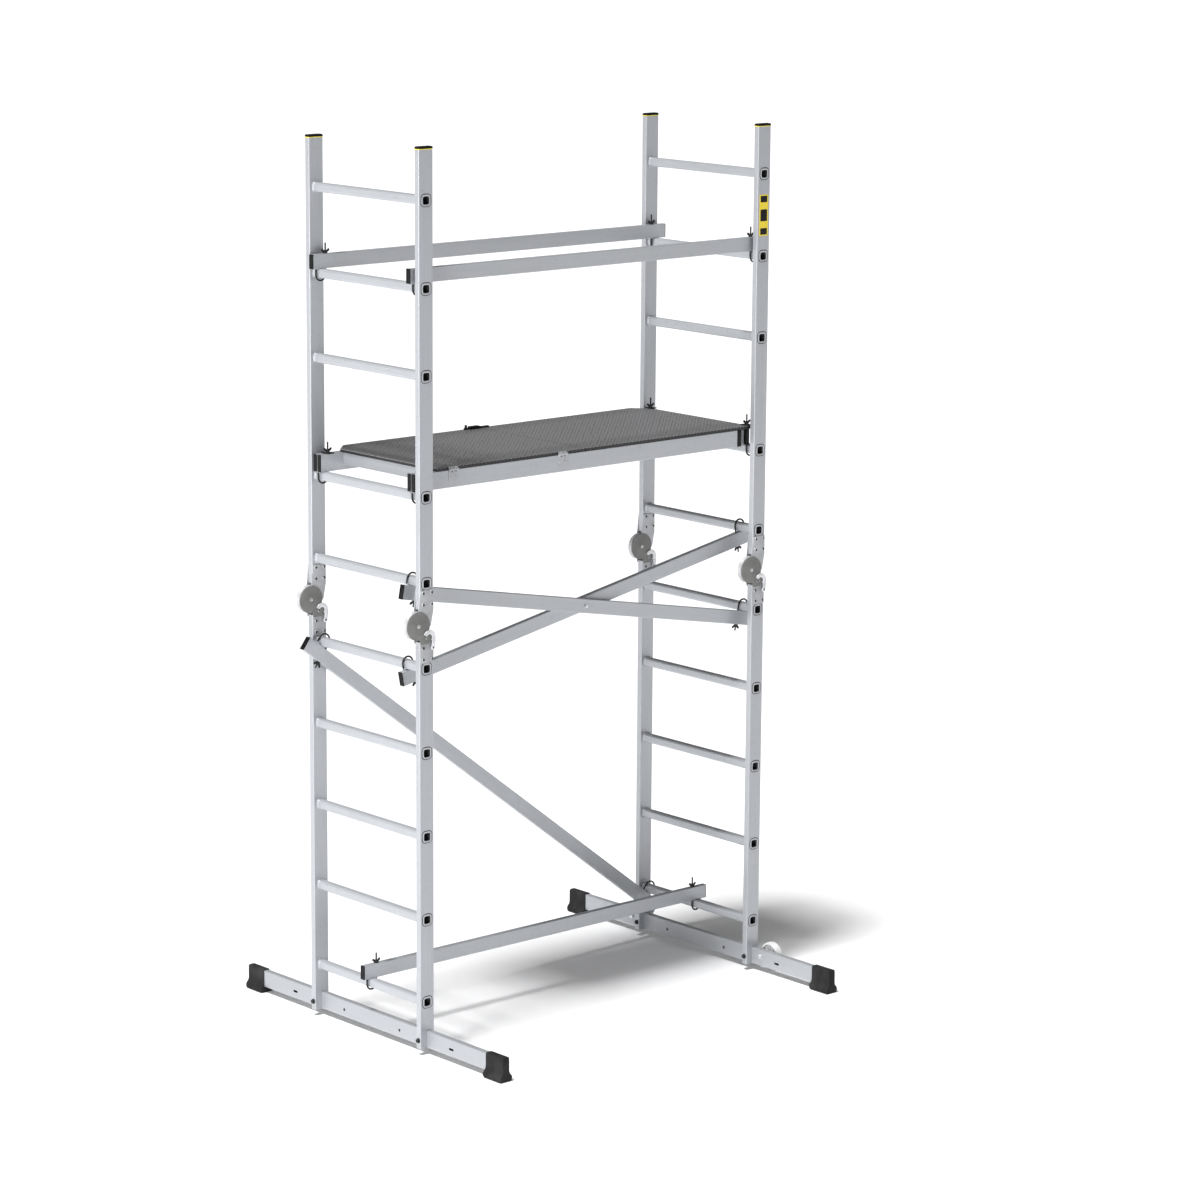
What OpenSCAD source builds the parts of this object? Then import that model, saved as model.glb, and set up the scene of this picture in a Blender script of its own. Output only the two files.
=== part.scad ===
// Baker scaffold: two folding ladders, a platform with a hatch, guard rails and braces.
// Lengths are in millimetres. X runs from ladder to ladder, Y across a ladder, Z up.
// The origin is at the floor, in the middle of the scaffold.

/* [Ladders] */
// Distance between the ladders, same face to same face
ladder_spacing = 1480; // [1200:10:1800]
// Outer width of a ladder
ladder_width = 586; // [480:2:710]
// Height of the lowest rung above the stile's end
first_rung = 157; // [130:1:200]
// Step from rung to rung
rung_pitch = 280; // [240:1:336]
// Extra step above the platform's rung
platform_gap = 110; // [0:5:140]
// Stile length above the top rung
stile_head = 160; // [120:5:240]

/* [Stiles] */
// Stile tube's size along X
stile_depth = 57; // [52:0.5:68]
// Stile tube's size along Y
stile_thick = 22; // [19:0.5:27]
// Wall of the stile and base tubes
tube_wall = 1.8; // [1.5:0.1:2.4]
// Outer corner radius of the tubes
tube_corner = 2.5; // [1.5:0.1:3]
// Height of the black cap on a stile
cap_height = 8; // [6:0.5:14]
// Height of the coloured band below the cap
band_height = 2.2; // [1.5:0.1:4]

/* [Rungs] */
// Rung tube's outer size
rung_size = 30; // [26:0.5:36]
// Rung tube's corner radius
rung_corner = 8; // [5:0.5:10]
// Rung tube's wall
rung_wall = 2; // [1.5:0.1:3]
// How far a swaged bead stands out round the rung
bead_rise = 3.5; // [2.5:0.1:4.5]
// Thickness of the bead on the inner face of a stile
bead_inner = 4; // [2:0.1:5]
// Thickness of the flare on the outer face of a stile
bead_outer = 1.6; // [1:0.1:2.5]

/* [Folding joints] */
// Hinge axis above the rung below it
hinge_rise = 145; // [138:1:158]
// Hinge axis outside the stile's face
hinge_out = 9; // [6:0.5:12]
// Radius of the hinge's cover disc
disc_r = 47; // [44:0.5:50]
// Radius of the hinge's disc on its rear side
inner_disc_r = 34; // [30:0.5:40]
// Depth of the hinge drum's wide part
drum_t = 16; // [12:0.5:18]
// Thickness of each hinge plate
plate_t = 3; // [2:0.1:4]
// Diameter of the hinge's tubular pin
hinge_pin_d = 12; // [10:0.5:14]
// Diameter of the locking pin
lock_pin_d = 8; // [6:0.5:9]
// Diameter of the hinge rivets
rivet_d = 5; // [4:0.5:6]
// Thickness of the release lever
lever_t = 4; // [3:0.5:5]
// Width of the release lever's band
lever_w = 14; // [10:0.5:16]

/* [Base] */
// Length of a base beam between its feet
beam_length = 1190; // [1000:10:1450]
// Height of a base beam
beam_height = 58; // [48:0.5:70]
// Thickness of a base beam
beam_thick = 22; // [18:0.5:24]
// Base beam's face behind the stile's face
beam_inset = 27; // [25:0.5:29]
// Length of a rubber foot
foot_length = 88; // [70:1:106]
// Floor clearance below the beam
foot_drop = 22; // [18:0.5:30]
// Width of a foot at the floor
foot_width = 54; // [44:1:64]
// Diameter of the base bolts
base_bolt_d = 8; // [6:0.5:10]
// Diameter of the round holes in a beam
beam_hole_d = 10; // [8:0.5:12]
// Distance between the round holes
beam_hole_pitch = 296; // [240:2:360]
// Distance between the slots
beam_slot_pitch = 836; // [700:2:1000]
// Length of a slot
beam_slot_length = 24; // [16:0.5:30]
// Width of a slot
beam_slot_width = 8; // [6:0.5:9]

/* [Wheels] */
// Wheel diameter
wheel_d = 84; // [70:1:96]
// Wheel width
wheel_w = 26; // [20:0.5:32]
// Wheel bolt's diameter
axle_d = 10; // [8:0.5:12]
// Clearance round the wheel bolt, on the radius
axle_gap = 0.08; // [0.03:0.01:0.1]
// Wheel axis outside the ladder's edge
wheel_out = 44; // [40:1:56]
// Wheel axis above the stile's end
wheel_height = 34; // [30:0.5:36]

/* [Braces and rails] */
// Height of a brace or rail tube
brace_height = 48; // [40:0.5:58]
// Thickness of a brace or rail tube
brace_thick = 20; // [16:0.5:24]
// Wall of a brace or rail tube
brace_wall = 1.5; // [1.2:0.1:2]
// Tube length past the hook bolt
brace_tail = 56; // [46:1:70]
// Tube length past the hook bolt on the long diagonal
diagonal_tail = 86; // [70:1:90]
// Near cross brace's middle from the ladder's edge
cross_front = 74; // [60:1:88]
// Gap between the two cross braces, filled by a washer
cross_gap = 2; // [1:0.1:4]
// Guard rail's middle from the ladder's edge
rail_inset = 42; // [40:0.5:50]
// Diagonal's middle from the far edge
diagonal_inset = 44; // [43:0.5:50]
// Rod diameter of a hook bolt
rod_d = 6; // [5:0.5:7]

/* [Platform] */
// Height of a platform rail
rail_height = 58; // [48:0.5:70]
// Thickness of one tube of a twin rail
rail_thick = 14; // [12:0.5:16]
// Gap between the tubes of a twin rail
rail_gap = 9; // [9:0.5:11]
// Rail's outer face from the ladder's edge
rail_edge = 29; // [28:0.5:34]
// Thickness of the deck boards
deck_t = 10; // [8:0.5:15]
// Deck's left edge from the left ladder's face
deck_left = 96; // [80:1:110]
// Deck's reach past the right ladder's face
deck_right = 10; // [6:0.5:11]
// Deck's far edge past the ladder's edge
deck_over = 3; // [0:0.5:12]
// Cut corner of the deck's far side
deck_chamfer = 56; // [50:1:66]
// Length of the hatch
hatch_length = 635; // [520:5:760]
// Gap round the hatch
hatch_gap = 3; // [2:0.5:6]
// Length of a hatch hinge
hatch_hinge_length = 38; // [30:1:46]

/* [Hidden] */
$fn = 48;

alu = [0.76, 0.78, 0.80];
steel = [0.62, 0.62, 0.60];
black = [0.10, 0.10, 0.11];

rungs_lower = 5;      // rungs in the lower section
rungs_to_deck = 2;    // rungs of the upper section up to the platform
rungs_upper = 5;      // rungs in the upper section
lower_z = [for (i = [0:rungs_lower - 1]) first_rung + i * rung_pitch];
fold_rung = lower_z[rungs_lower - 1];
upper_z = [for (i = [1:rungs_upper])
  fold_rung + i * rung_pitch + (i > rungs_to_deck ? platform_gap : 0)];
deck_rung = upper_z[rungs_to_deck - 1];
guard_rung = upper_z[rungs_upper - 2];
stile_top = upper_z[rungs_upper - 1] + stile_head;

touch = 0.3;          // seat clearance between curved faces
bolt_clear = 0.2;     // clearance round fixed pins, on the radius
rung_x = stile_depth / 2;
bead = rung_size / 2 + bead_rise;

hinge_z = fold_rung + hinge_rise;
fold_gap_top = 53;    // hinge axis to the upper stile's end
fold_gap_low = 55;    // hinge axis to the lower stile's end
plate_inset = 2;      // hinge plate's edges inside the stile's
upper_plate_top = upper_z[0] - bead - 1;
lower_plate_end = fold_rung + bead + 1;
rivet_x = [12.5, stile_depth - 10];
rivet_rise = [67, 105];    // hinge axis up to the upper rivets
rivet_fall = [76, 113];    // hinge axis down to the lower rivets
lever_gap = 0.3;      // running gap under the lever
lever_y = -2 * plate_t - lever_gap;
lever_x = rivet_x[1];
lever_z = hinge_z - rivet_fall[0];
lever_rise = 35;      // lever's bend above its pivot
lever_bend = lever_w - 3;    // inner radius of the lever's bend
lever_arm = stile_depth + 1 - lever_w;     // inner edge of the lever's straight
lock_x = 23.5;
lock_z = hinge_z - 42.5;

beam_x = beam_inset + beam_thick / 2;
base_bolt_z = beam_height / 2 - 1;
beam_hole_z = 25;
foot_z = -foot_drop;
foot_neck = beam_thick + 6;
foot_cover = 4;       // rubber above the beam
foot_grip = 55;       // beam length inside a foot
plug_height = beam_height + 4;

wheel_gap = 0.5;      // side play of a wheel
wheel_x = stile_depth + 10.5;
axle_head = 7;
axle_nut = 8;

plug_flange = 3;
plug_gap = 0.02;      // a plug's flange to the tube's end
plug_depth = 25;
seat = 0.3;           // brace tube to rung
washer_t = 2;
nut_h = 9;
thread_tail = [12, 24];    // rod past the nut, under and over a rung
hook_reach = 12;      // straight end of a hook
clamp_t = 3;

rail_z = deck_rung + rung_size / 2 + touch;
deck_z = rail_z + rail_height;
twin = 2 * rail_thick + rail_gap;
rail_mid = rail_edge + twin / 2;
rail_left = 6.5;      // rail's end from the left ladder's face
outer_stop = -53;     // outer tube's right end from the right ladder's face
inner_stop = 0;       // inner tube's right end
outer_head = 20;      // long plug on the outer tube's right end
inner_head = 27;      // long plug on the inner tube's right end
cross_bar_w = 20;
cross_bar_h = 40;
seam_x = deck_left + hatch_length;
deck_edge = ladder_spacing + deck_right;
deck_far = ladder_width + deck_over;
screw_d = 8;
hatch_pin_r = 2;
knuckle_r = 4;
hatch_axis_y = rail_edge - knuckle_r - 0.5;
hatch_axis_z = deck_z + 2;
latch_z = deck_z + deck_t;
latch_y = deck_far - 13;
latch_guide_l = 40;
latch_bolt_w = 10;
latch_bolt_h = 6;
latch_reach = 40;     // bolt's reach past the seam, which is also its travel

// The whole scaffold's extent in X, which puts the origin at its middle.
diag_p = [rung_x, fold_rung];
diag_q = [ladder_spacing + rung_x, first_rung];
diag_drop = slope(diag_p, diag_q);
diag_depth = reach(diag_drop) + seat;
diag_end = diagonal_tail + plug_flange - hook_x(diag_drop);
x_low = min(-hinge_out - disc_r, rung_x - diag_end * cos(diag_drop)
  - (diag_depth + brace_height) * sin(diag_drop));
x_high = ladder_spacing + wheel_x + wheel_w + wheel_gap + axle_nut + 3;
x_mid = (x_low + x_high) / 2;

// Angle of the line from p down to q, in degrees.
function slope(p, q) = atan2(p[1] - q[1], q[0] - p[0]);
// Distance from a rung's middle to its surface, in a direction turned by a.
function reach(a) = (rung_size / 2 - rung_corner) * (abs(sin(a)) + abs(cos(a))) + rung_corner;
// Distance from a rung's middle to the shank of its hook bolt.
function hook_x(a) = reach(a) + rod_d / 2 + 1.6;
// How far the hook's bend lies below a rung's middle, so that it clears the corners.
function hook_drop(k) = k - sqrt(1.2 * k) + 0.5;

module in_place() {
  translate([-x_mid, -ladder_width / 2, foot_drop]) children();
}

module on_ladder(right) {
  translate([right ? ladder_spacing : 0, 0, 0]) children();
}

module both_ladders() {
  for (right = [false, true]) on_ladder(right) children();
}

// The far side of a ladder is the near side's mirror image.
module far_side() {
  translate([0, ladder_width, 0]) mirror([0, 1, 0]) children();
}

module both_sides() {
  children();
  far_side() children();
}

// A flat XZ outline carried along Y from y0 to y1.
module along_y(y0, y1) {
  translate([0, y1, 0]) rotate([90, 0, 0]) linear_extrude(y1 - y0) children();
}

// A flat YZ outline carried along X from x0 to x1.
module along_x(x0, x1) {
  translate([x0, 0, 0]) rotate([90, 0, 90]) linear_extrude(x1 - x0) children();
}

module rod_y(x, z, d, y0, y1) {
  translate([x, y1, z]) rotate([90, 0, 0]) cylinder(d = d, h = y1 - y0);
}

module rod_x(y, z, d, x0, x1) {
  translate([x0, y, z]) rotate([0, 90, 0]) cylinder(d = d, h = x1 - x0);
}

// A centred rectangle with true round corners.
module round_rect(w, h, r) {
  square([w - 2 * r, h], center = true);
  square([w, h - 2 * r], center = true);
  for (i = [-1, 1], j = [-1, 1])
    translate([i * (w / 2 - r), j * (h / 2 - r)]) circle(r);
}

module box_section(w, h, r, wall) {
  difference() {
    round_rect(w, h, r);
    round_rect(w - 2 * wall, h - 2 * wall, max(r - wall, 0.6));
  }
}

module hexagon_x(y, z, across, x0, x1) {
  translate([x0, y, z]) rotate([0, 90, 0]) cylinder(d = across / cos(30), h = x1 - x0, $fn = 6);
}

// ---- Stiles and rungs ----

module stile_tube(z0, z1, rungs) {
  difference() {
    translate([stile_depth / 2, stile_thick / 2, z0]) linear_extrude(z1 - z0)
      box_section(stile_depth, stile_thick, tube_corner, tube_wall);
    for (z = rungs) along_y(-1, stile_thick + 1)
      translate([rung_x, z]) round_rect(rung_size, rung_size, rung_corner);
  }
}

module lower_stile() {
  difference() {
    stile_tube(0, hinge_z - fold_gap_low, lower_z);
    translate([beam_inset - touch, -1, -1])
      cube([beam_thick + 2 * touch, stile_thick + 2, beam_height + touch + 1]);
    rod_x(stile_thick / 2, base_bolt_z, base_bolt_d + 2 * bolt_clear, -1, tube_wall + 1);
    for (x = rivet_x, dz = rivet_fall)
      rod_y(x, hinge_z - dz, rivet_d + 2 * bolt_clear, -1, stile_thick + 1);
  }
}

module upper_stile() {
  difference() {
    stile_tube(hinge_z + fold_gap_top, stile_top, upper_z);
    for (x = rivet_x, dz = rivet_rise)
      rod_y(x, hinge_z + dz, rivet_d + 2 * bolt_clear, -1, stile_thick + 1);
  }
}

module rung(z) {
  translate([rung_x, 0, z]) difference() {
    union() {
      along_y(-bead_outer, ladder_width + bead_outer)
        round_rect(rung_size, rung_size, rung_corner);
      both_sides() {
        along_y(-bead_outer, 0) round_rect(2 * bead, 2 * bead, rung_corner + bead_rise);
        along_y(stile_thick, stile_thick + bead_inner)
          round_rect(2 * bead, 2 * bead, rung_corner + bead_rise);
      }
    }
    along_y(-bead_outer - 1, ladder_width + bead_outer + 1)
      round_rect(rung_size - 2 * rung_wall, rung_size - 2 * rung_wall, rung_corner - rung_wall);
  }
}

module rungs(heights) {
  for (z = heights) rung(z);
}

module left_lower_near_stile() { color(alu) in_place() lower_stile(); }
module left_lower_far_stile() { color(alu) in_place() far_side() lower_stile(); }
module left_upper_near_stile() { color(alu) in_place() upper_stile(); }
module left_upper_far_stile() { color(alu) in_place() far_side() upper_stile(); }
module right_lower_near_stile() { color(alu) in_place() on_ladder(true) lower_stile(); }
module right_lower_far_stile() { color(alu) in_place() on_ladder(true) far_side() lower_stile(); }
module right_upper_near_stile() { color(alu) in_place() on_ladder(true) upper_stile(); }
module right_upper_far_stile() { color(alu) in_place() on_ladder(true) far_side() upper_stile(); }
module left_lower_rungs() { color(alu) in_place() rungs(lower_z); }
module left_upper_rungs() { color(alu) in_place() rungs(upper_z); }
module right_lower_rungs() { color(alu) in_place() on_ladder(true) rungs(lower_z); }
module right_upper_rungs() { color(alu) in_place() on_ladder(true) rungs(upper_z); }

module stile_caps() {
  cap_w = stile_depth + 2;
  cap_t = stile_thick + 2;
  color(black) in_place() both_ladders() both_sides()
    translate([stile_depth / 2, stile_thick / 2, stile_top]) {
      translate([0, 0, -plug_depth]) linear_extrude(plug_depth + band_height)
        round_rect(stile_depth - 2 * tube_wall - 0.2, stile_thick - 2 * tube_wall - 0.2, 0.6);
      translate([0, 0, band_height]) intersection() {
        linear_extrude(cap_height) round_rect(cap_w, cap_t, tube_corner + 1);
        along_y(-cap_t, cap_t) round_rect(cap_w, 2 * cap_height, cap_height - 2);
        along_x(-cap_w, cap_w) round_rect(cap_t, 2 * cap_height, cap_height - 2);
      }
    }
}

module cap_bands() {
  color([0.96, 0.83, 0.12]) in_place() both_ladders() both_sides()
    translate([stile_depth / 2, stile_thick / 2, stile_top]) linear_extrude(band_height)
      difference() {
        round_rect(stile_depth + 1.4, stile_thick + 1.4, tube_corner + 0.7);
        round_rect(stile_depth - 2 * tube_wall, stile_thick - 2 * tube_wall, 0.6);
      }
}

// ---- Folding joints ----

// The hinges aren't mirrored: all four have their lever on the side towards the front.
module far_hinge() {
  translate([0, ladder_width - stile_thick, 0]) children();
}

module each_hinge() {
  both_ladders() {
    children();
    far_hinge() children();
  }
}

// Plates on the front and rear faces of the stile, set back by the layers under them.
// The first child is the front outline and the last child the rear one.
module plate_pair(layer) {
  along_y(-(layer + 1) * plate_t, -layer * plate_t) children(0);
  along_y(stile_thick + layer * plate_t, stile_thick + (layer + 1) * plate_t)
    children($children - 1);
}

module hinge_bores(z0, rows, side) {
  for (x = rivet_x, dz = rows)
    rod_y(x, z0 + side * dz, rivet_d + 2 * bolt_clear, -20, stile_thick + 20);
}

module upper_plate_outline(r) {
  polygon([[plate_inset, upper_plate_top], [stile_depth - plate_inset, upper_plate_top],
    [stile_depth - plate_inset, hinge_z + fold_gap_top - 4], [stile_depth - 12, hinge_z - 5],
    [25, hinge_z - 23], [-hinge_out, hinge_z]]);
  translate([-hinge_out, hinge_z]) circle(r - 3);
}

module lower_plate_outline(r) {
  tab_end = hinge_z - 62;
  translate([-hinge_out, hinge_z]) circle(r);
  polygon([[0, tab_end], [34, tab_end], [46, tab_end + 16], [46, hinge_z - 40],
    [36, hinge_z - 20], [-hinge_out, hinge_z], [-hinge_out, hinge_z - 0.85 * r],
    [0, hinge_z - r - 1]]);
}

module upper_hinge_plates() {
  color(steel) in_place() each_hinge() difference() {
    plate_pair(0) {
      upper_plate_outline(disc_r);
      upper_plate_outline(inner_disc_r);
    }
    hinge_bores(hinge_z, rivet_rise, 1);
    rod_y(-hinge_out, hinge_z, hinge_pin_d + 2 * bolt_clear, -20, stile_thick + 20);
  }
}

module lower_hinge_plates() {
  color(steel) in_place() each_hinge() difference() {
    union() {
      plate_pair(0) polygon([[plate_inset, lower_plate_end],
        [stile_depth - plate_inset, lower_plate_end],
        [stile_depth - plate_inset, hinge_z - fold_gap_low],
        [plate_inset, hinge_z - fold_gap_low]]);
      plate_pair(1) {
        lower_plate_outline(disc_r);
        lower_plate_outline(inner_disc_r);
      }
    }
    hinge_bores(hinge_z, rivet_fall, -1);
    rod_y(-hinge_out, hinge_z, hinge_pin_d + 2 * bolt_clear, -20, stile_thick + 20);
    rod_y(lock_x, lock_z, lock_pin_d + 2 * bolt_clear, -20, stile_thick + 20);
  }
}

module hinge_drums() {
  color(alu) in_place() each_hinge() difference() {
    union() {
      rod_y(-hinge_out, hinge_z, 2 * disc_r - 1, 0, drum_t);
      rod_y(-hinge_out, hinge_z, 2 * inner_disc_r - 1, 0, stile_thick);
    }
    rod_y(-hinge_out, hinge_z, hinge_pin_d + 2 * bolt_clear, -1, stile_thick + 1);
  }
}

module hinge_pins() {
  face = 2 * plate_t;
  head = 1.5;
  color(steel) in_place() each_hinge() difference() {
    union() {
      rod_y(-hinge_out, hinge_z, hinge_pin_d, -face - head, stile_thick + face + head);
      rod_y(-hinge_out, hinge_z, hinge_pin_d + 5, -face - head, -face);
      rod_y(-hinge_out, hinge_z, hinge_pin_d + 5, stile_thick + face, stile_thick + face + head);
    }
    rod_y(-hinge_out, hinge_z, hinge_pin_d / 2, -20, stile_thick + 20);
  }
}

module lock_pins() {
  color(steel) in_place() each_hinge() union() {
    rod_y(lock_x, lock_z, lock_pin_d, -2 * plate_t - 3, stile_thick + 2 * plate_t + 2);
    rod_y(lock_x, lock_z, lock_pin_d + 4, stile_thick + 2 * plate_t, stile_thick + 2 * plate_t + 2);
  }
}

// A rivet through the stile and its two inner plates, with a domed head at each end.
module rivet(x, z) {
  face = plate_t;
  head = 2.4;
  rod_y(x, z, rivet_d, -face, stile_thick + face);
  translate([x, -face, z]) rotate([90, 0, 0]) cylinder(d1 = rivet_d + 5, d2 = rivet_d + 1, h = head);
  translate([x, stile_thick + face, z]) rotate([-90, 0, 0])
    cylinder(d1 = rivet_d + 5, d2 = rivet_d + 1, h = head);
}

module hinge_rivets() {
  color(steel) in_place() each_hinge() {
    for (x = rivet_x, dz = rivet_rise) rivet(x, hinge_z + dz);
    for (x = rivet_x) rivet(x, hinge_z - rivet_fall[1]);
    rivet(rivet_x[0], hinge_z - rivet_fall[0]);
  }
}

module lever_pivots() {
  color(steel) in_place() each_hinge() {
    rod_y(lever_x, lever_z, rivet_d, lever_y - lever_t - 2.5, stile_thick + plate_t + 2);
    rod_y(lever_x, lever_z, rivet_d + 5, -2 * plate_t, -plate_t);
    rod_y(lever_x, lever_z, rivet_d + 5, lever_y - lever_t - 2.5, lever_y - lever_t - lever_gap);
    rod_y(lever_x, lever_z, rivet_d + 4, stile_thick + plate_t, stile_thick + plate_t + 2);
  }
}

// A flat band that climbs from its pivot and bends back over the locking pin.
module lever() {
  bend_x = lever_arm - lever_bend;
  bend_z = lever_z + lever_rise;
  bend_r = lever_bend + lever_w;
  difference() {
    along_y(lever_y - lever_t, lever_y) {
      translate([lever_x, lever_z]) circle(lever_w / 2);
      translate([lever_arm, lever_z]) square([lever_w, lever_rise]);
      translate([lever_x, lever_z - 4]) square([lever_arm + lever_w - lever_x - 2, 8]);
      translate([bend_x, bend_z]) difference() {
        circle(bend_r);
        circle(lever_bend);
        translate([-2 * bend_r, -2 * bend_r]) square([4 * bend_r, 2 * bend_r]);
        polygon([[0, 0], [-2 * bend_r, bend_r], [-2 * bend_r, -1], [0, -1]]);
      }
    }
    rod_y(lever_x, lever_z, rivet_d + 0.12, lever_y - lever_t - 1, lever_y + 1);
  }
}

module left_near_lever() { color([0.8, 0.81, 0.82]) in_place() lever(); }
module left_far_lever() { color([0.8, 0.81, 0.82]) in_place() far_hinge() lever(); }
module right_near_lever() { color([0.8, 0.81, 0.82]) in_place() on_ladder(true) lever(); }
module right_far_lever() { color([0.8, 0.81, 0.82]) in_place() on_ladder(true) far_hinge() lever(); }

// ---- Base ----

// A hole through a beam, as long as slot and d wide.
module beam_slot(y, z, d, slot) {
  run = slot - d;
  for (s = [-1, 1]) rod_x(y + s * run / 2, z, d, beam_inset - 1, beam_inset + beam_thick + 1);
  if (run > 0) translate([beam_inset - 1, y - run / 2, z - d / 2])
    cube([beam_thick + 2, run, d]);
}

module base_beam(wheeled) {
  mid = ladder_width / 2;
  half = beam_length / 2 + foot_grip;
  difference() {
    along_y(mid - half, mid + half) translate([beam_x, beam_height / 2])
      box_section(beam_thick, beam_height, tube_corner, tube_wall);
    for (s = [-1, 1]) {
      beam_slot(mid + s * beam_hole_pitch / 2, beam_hole_z, beam_hole_d, beam_hole_d);
      beam_slot(mid + s * beam_slot_pitch / 2, beam_hole_z, beam_slot_width, beam_slot_length);
    }
    both_sides() {
      rod_x(stile_thick / 2, base_bolt_z, base_bolt_d + 2 * bolt_clear, beam_inset - 1,
        beam_inset + beam_thick + 1);
      if (wheeled) rod_x(-wheel_out, wheel_height, axle_d + 2 * bolt_clear, beam_inset - 1,
        beam_inset + beam_thick + 1);
    }
  }
}

module left_base_beam() { color(alu) in_place() base_beam(false); }
module right_base_beam() { color(alu) in_place() on_ladder(true) base_beam(true); }

module foot_outline() {
  n = foot_neck / 2;
  w = foot_width / 2;
  top = beam_height + foot_cover;
  polygon([[-n, top - 3], [-n + 3, top], [n - 3, top], [n, top - 3], [n, foot_z + 34],
    [w, foot_z + 15], [w, foot_z + 6], [w - 5, foot_z], [-w + 5, foot_z], [-w, foot_z + 6],
    [-w, foot_z + 15], [-n, foot_z + 34]]);
}

module rubber_feet() {
  inner = ladder_width / 2 - beam_length / 2;
  color(black) in_place() both_ladders() both_sides() difference() {
    along_y(inner - foot_length, inner) translate([beam_x, 0]) foot_outline();
    along_y(inner - foot_grip, inner + 1) translate([beam_x, beam_height / 2])
      round_rect(beam_thick, beam_height, tube_corner);
  }
}

// A plastic block in each stile's open end, between its front wall and the beam.
module stile_foot_plugs() {
  wall = tube_wall + touch;
  color([0.16, 0.16, 0.17]) in_place() both_ladders() both_sides() difference() {
    translate([wall, wall, 2]) cube([beam_inset - wall, stile_thick - 2 * wall, plug_height]);
    rod_x(stile_thick / 2, base_bolt_z, base_bolt_d + 2 * bolt_clear, 0, beam_inset + 1);
  }
}

module base_bolts() {
  y = stile_thick / 2;
  end = beam_inset + beam_thick + 4.5;
  color(steel) in_place() both_ladders() both_sides() {
    rod_x(y, base_bolt_z, base_bolt_d, -1.6, end);
    rod_x(y, base_bolt_z, 2.2 * base_bolt_d, -1.6, 0);
    hexagon_x(y, base_bolt_z, 1.6 * base_bolt_d, -7, -1.6);
  }
}

module base_nuts() {
  y = stile_thick / 2;
  from = beam_inset + beam_thick;
  color(steel) in_place() both_ladders() both_sides() difference() {
    hexagon_x(y, base_bolt_z, 1.6 * base_bolt_d, from, from + 4);
    rod_x(y, base_bolt_z, base_bolt_d + 0.2, from - 1, from + 6);
  }
}

// ---- Wheels ----

module wheel() {
  r = wheel_d / 2;
  half = wheel_w / 2;
  web = wheel_w / 6;
  hub = axle_d + 3;
  bore = axle_d / 2 + axle_gap;
  translate([wheel_x + half, -wheel_out, wheel_height]) rotate([0, 90, 0])
    rotate_extrude($fn = 96) polygon([[bore, -half], [hub, -half], [hub, -web - 2],
      [hub + 2, -web], [r - 10, -web], [r - 8, -web - 2], [r - 8, -half], [r - 3, -half],
      [r, -half + 3], [r, half - 3], [r - 3, half], [r - 8, half], [r - 8, web + 2],
      [r - 10, web], [hub + 2, web], [hub, web + 2], [hub, half], [bore, half]]);
}

module near_wheel() { color([0.86, 0.87, 0.88]) in_place() on_ladder(true) wheel(); }
module far_wheel() { color([0.86, 0.87, 0.88]) in_place() on_ladder(true) far_side() wheel(); }

module wheel_bolts() {
  color(steel) in_place() on_ladder(true) both_sides() {
    rod_x(-wheel_out, wheel_height, axle_d, beam_inset - 1,
      wheel_x + wheel_w + wheel_gap + axle_nut + 3);
    rod_x(-wheel_out, wheel_height, 2 * axle_d, beam_inset - 1.6, beam_inset);
    hexagon_x(-wheel_out, wheel_height, 1.6 * axle_d, beam_inset - axle_head, beam_inset - 1.6);
  }
}

module wheel_spacers() {
  from = beam_inset + beam_thick;
  color(steel) in_place() on_ladder(true) both_sides() difference() {
    rod_x(-wheel_out, wheel_height, axle_d + 8, from, wheel_x - wheel_gap);
    rod_x(-wheel_out, wheel_height, axle_d + 2 * bolt_clear, from - 1, wheel_x + 1);
  }
}

module wheel_nuts() {
  from = wheel_x + wheel_w + wheel_gap;
  color(steel) in_place() on_ladder(true) both_sides() difference() {
    union() {
      rod_x(-wheel_out, wheel_height, 2 * axle_d, from, from + 1.6);
      hexagon_x(-wheel_out, wheel_height, 1.6 * axle_d, from + 1.6, from + axle_nut);
    }
    rod_x(-wheel_out, wheel_height, axle_d + 0.2, from - 1, from + axle_nut + 1);
  }
}

// ---- Braces, guard rails and their hook bolts ----
// A brace runs between two rungs, p on the left ladder and q on the right. It is drawn in
// its own frame, with X along the tube, Z square to it and the origin at p's middle.

cross_low = [rung_x, fold_rung];
cross_high = [rung_x, upper_z[0]];
right_low = [ladder_spacing + rung_x, fold_rung];
right_high = [ladder_spacing + rung_x, upper_z[0]];
brace_low = [rung_x, first_rung];
right_brace_low = [ladder_spacing + rung_x, first_rung];
guard_left = [rung_x, guard_rung];
guard_right = [ladder_spacing + rung_x, guard_rung];
deck_left_rung = [rung_x, deck_rung];
deck_right_rung = [ladder_spacing + rung_x, deck_rung];
cross_rear = cross_front + brace_thick + cross_gap;
under = -1;           // the tube hangs below its rungs
over = 1;             // the tube lies on its rungs

// Every clamped tube: its two rungs, its middle in Y, its side and its tail.
BOTTOM = [brace_low, right_brace_low, ladder_width / 2, over, brace_tail];
DIAGONAL = [diag_p, diag_q, ladder_width - diagonal_inset, under, diagonal_tail];
CROSS_FRONT = [cross_high, right_low, cross_front, under, brace_tail];
CROSS_REAR = [cross_low, right_high, cross_rear, under, brace_tail];
GUARD_NEAR = [guard_left, guard_right, rail_inset, over, brace_tail];
GUARD_FAR = [guard_left, guard_right, ladder_width - rail_inset, over, brace_tail];
BRACES = [BOTTOM, DIAGONAL, CROSS_FRONT, CROSS_REAR];
GUARDS = [GUARD_NEAR, GUARD_FAR];

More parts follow.
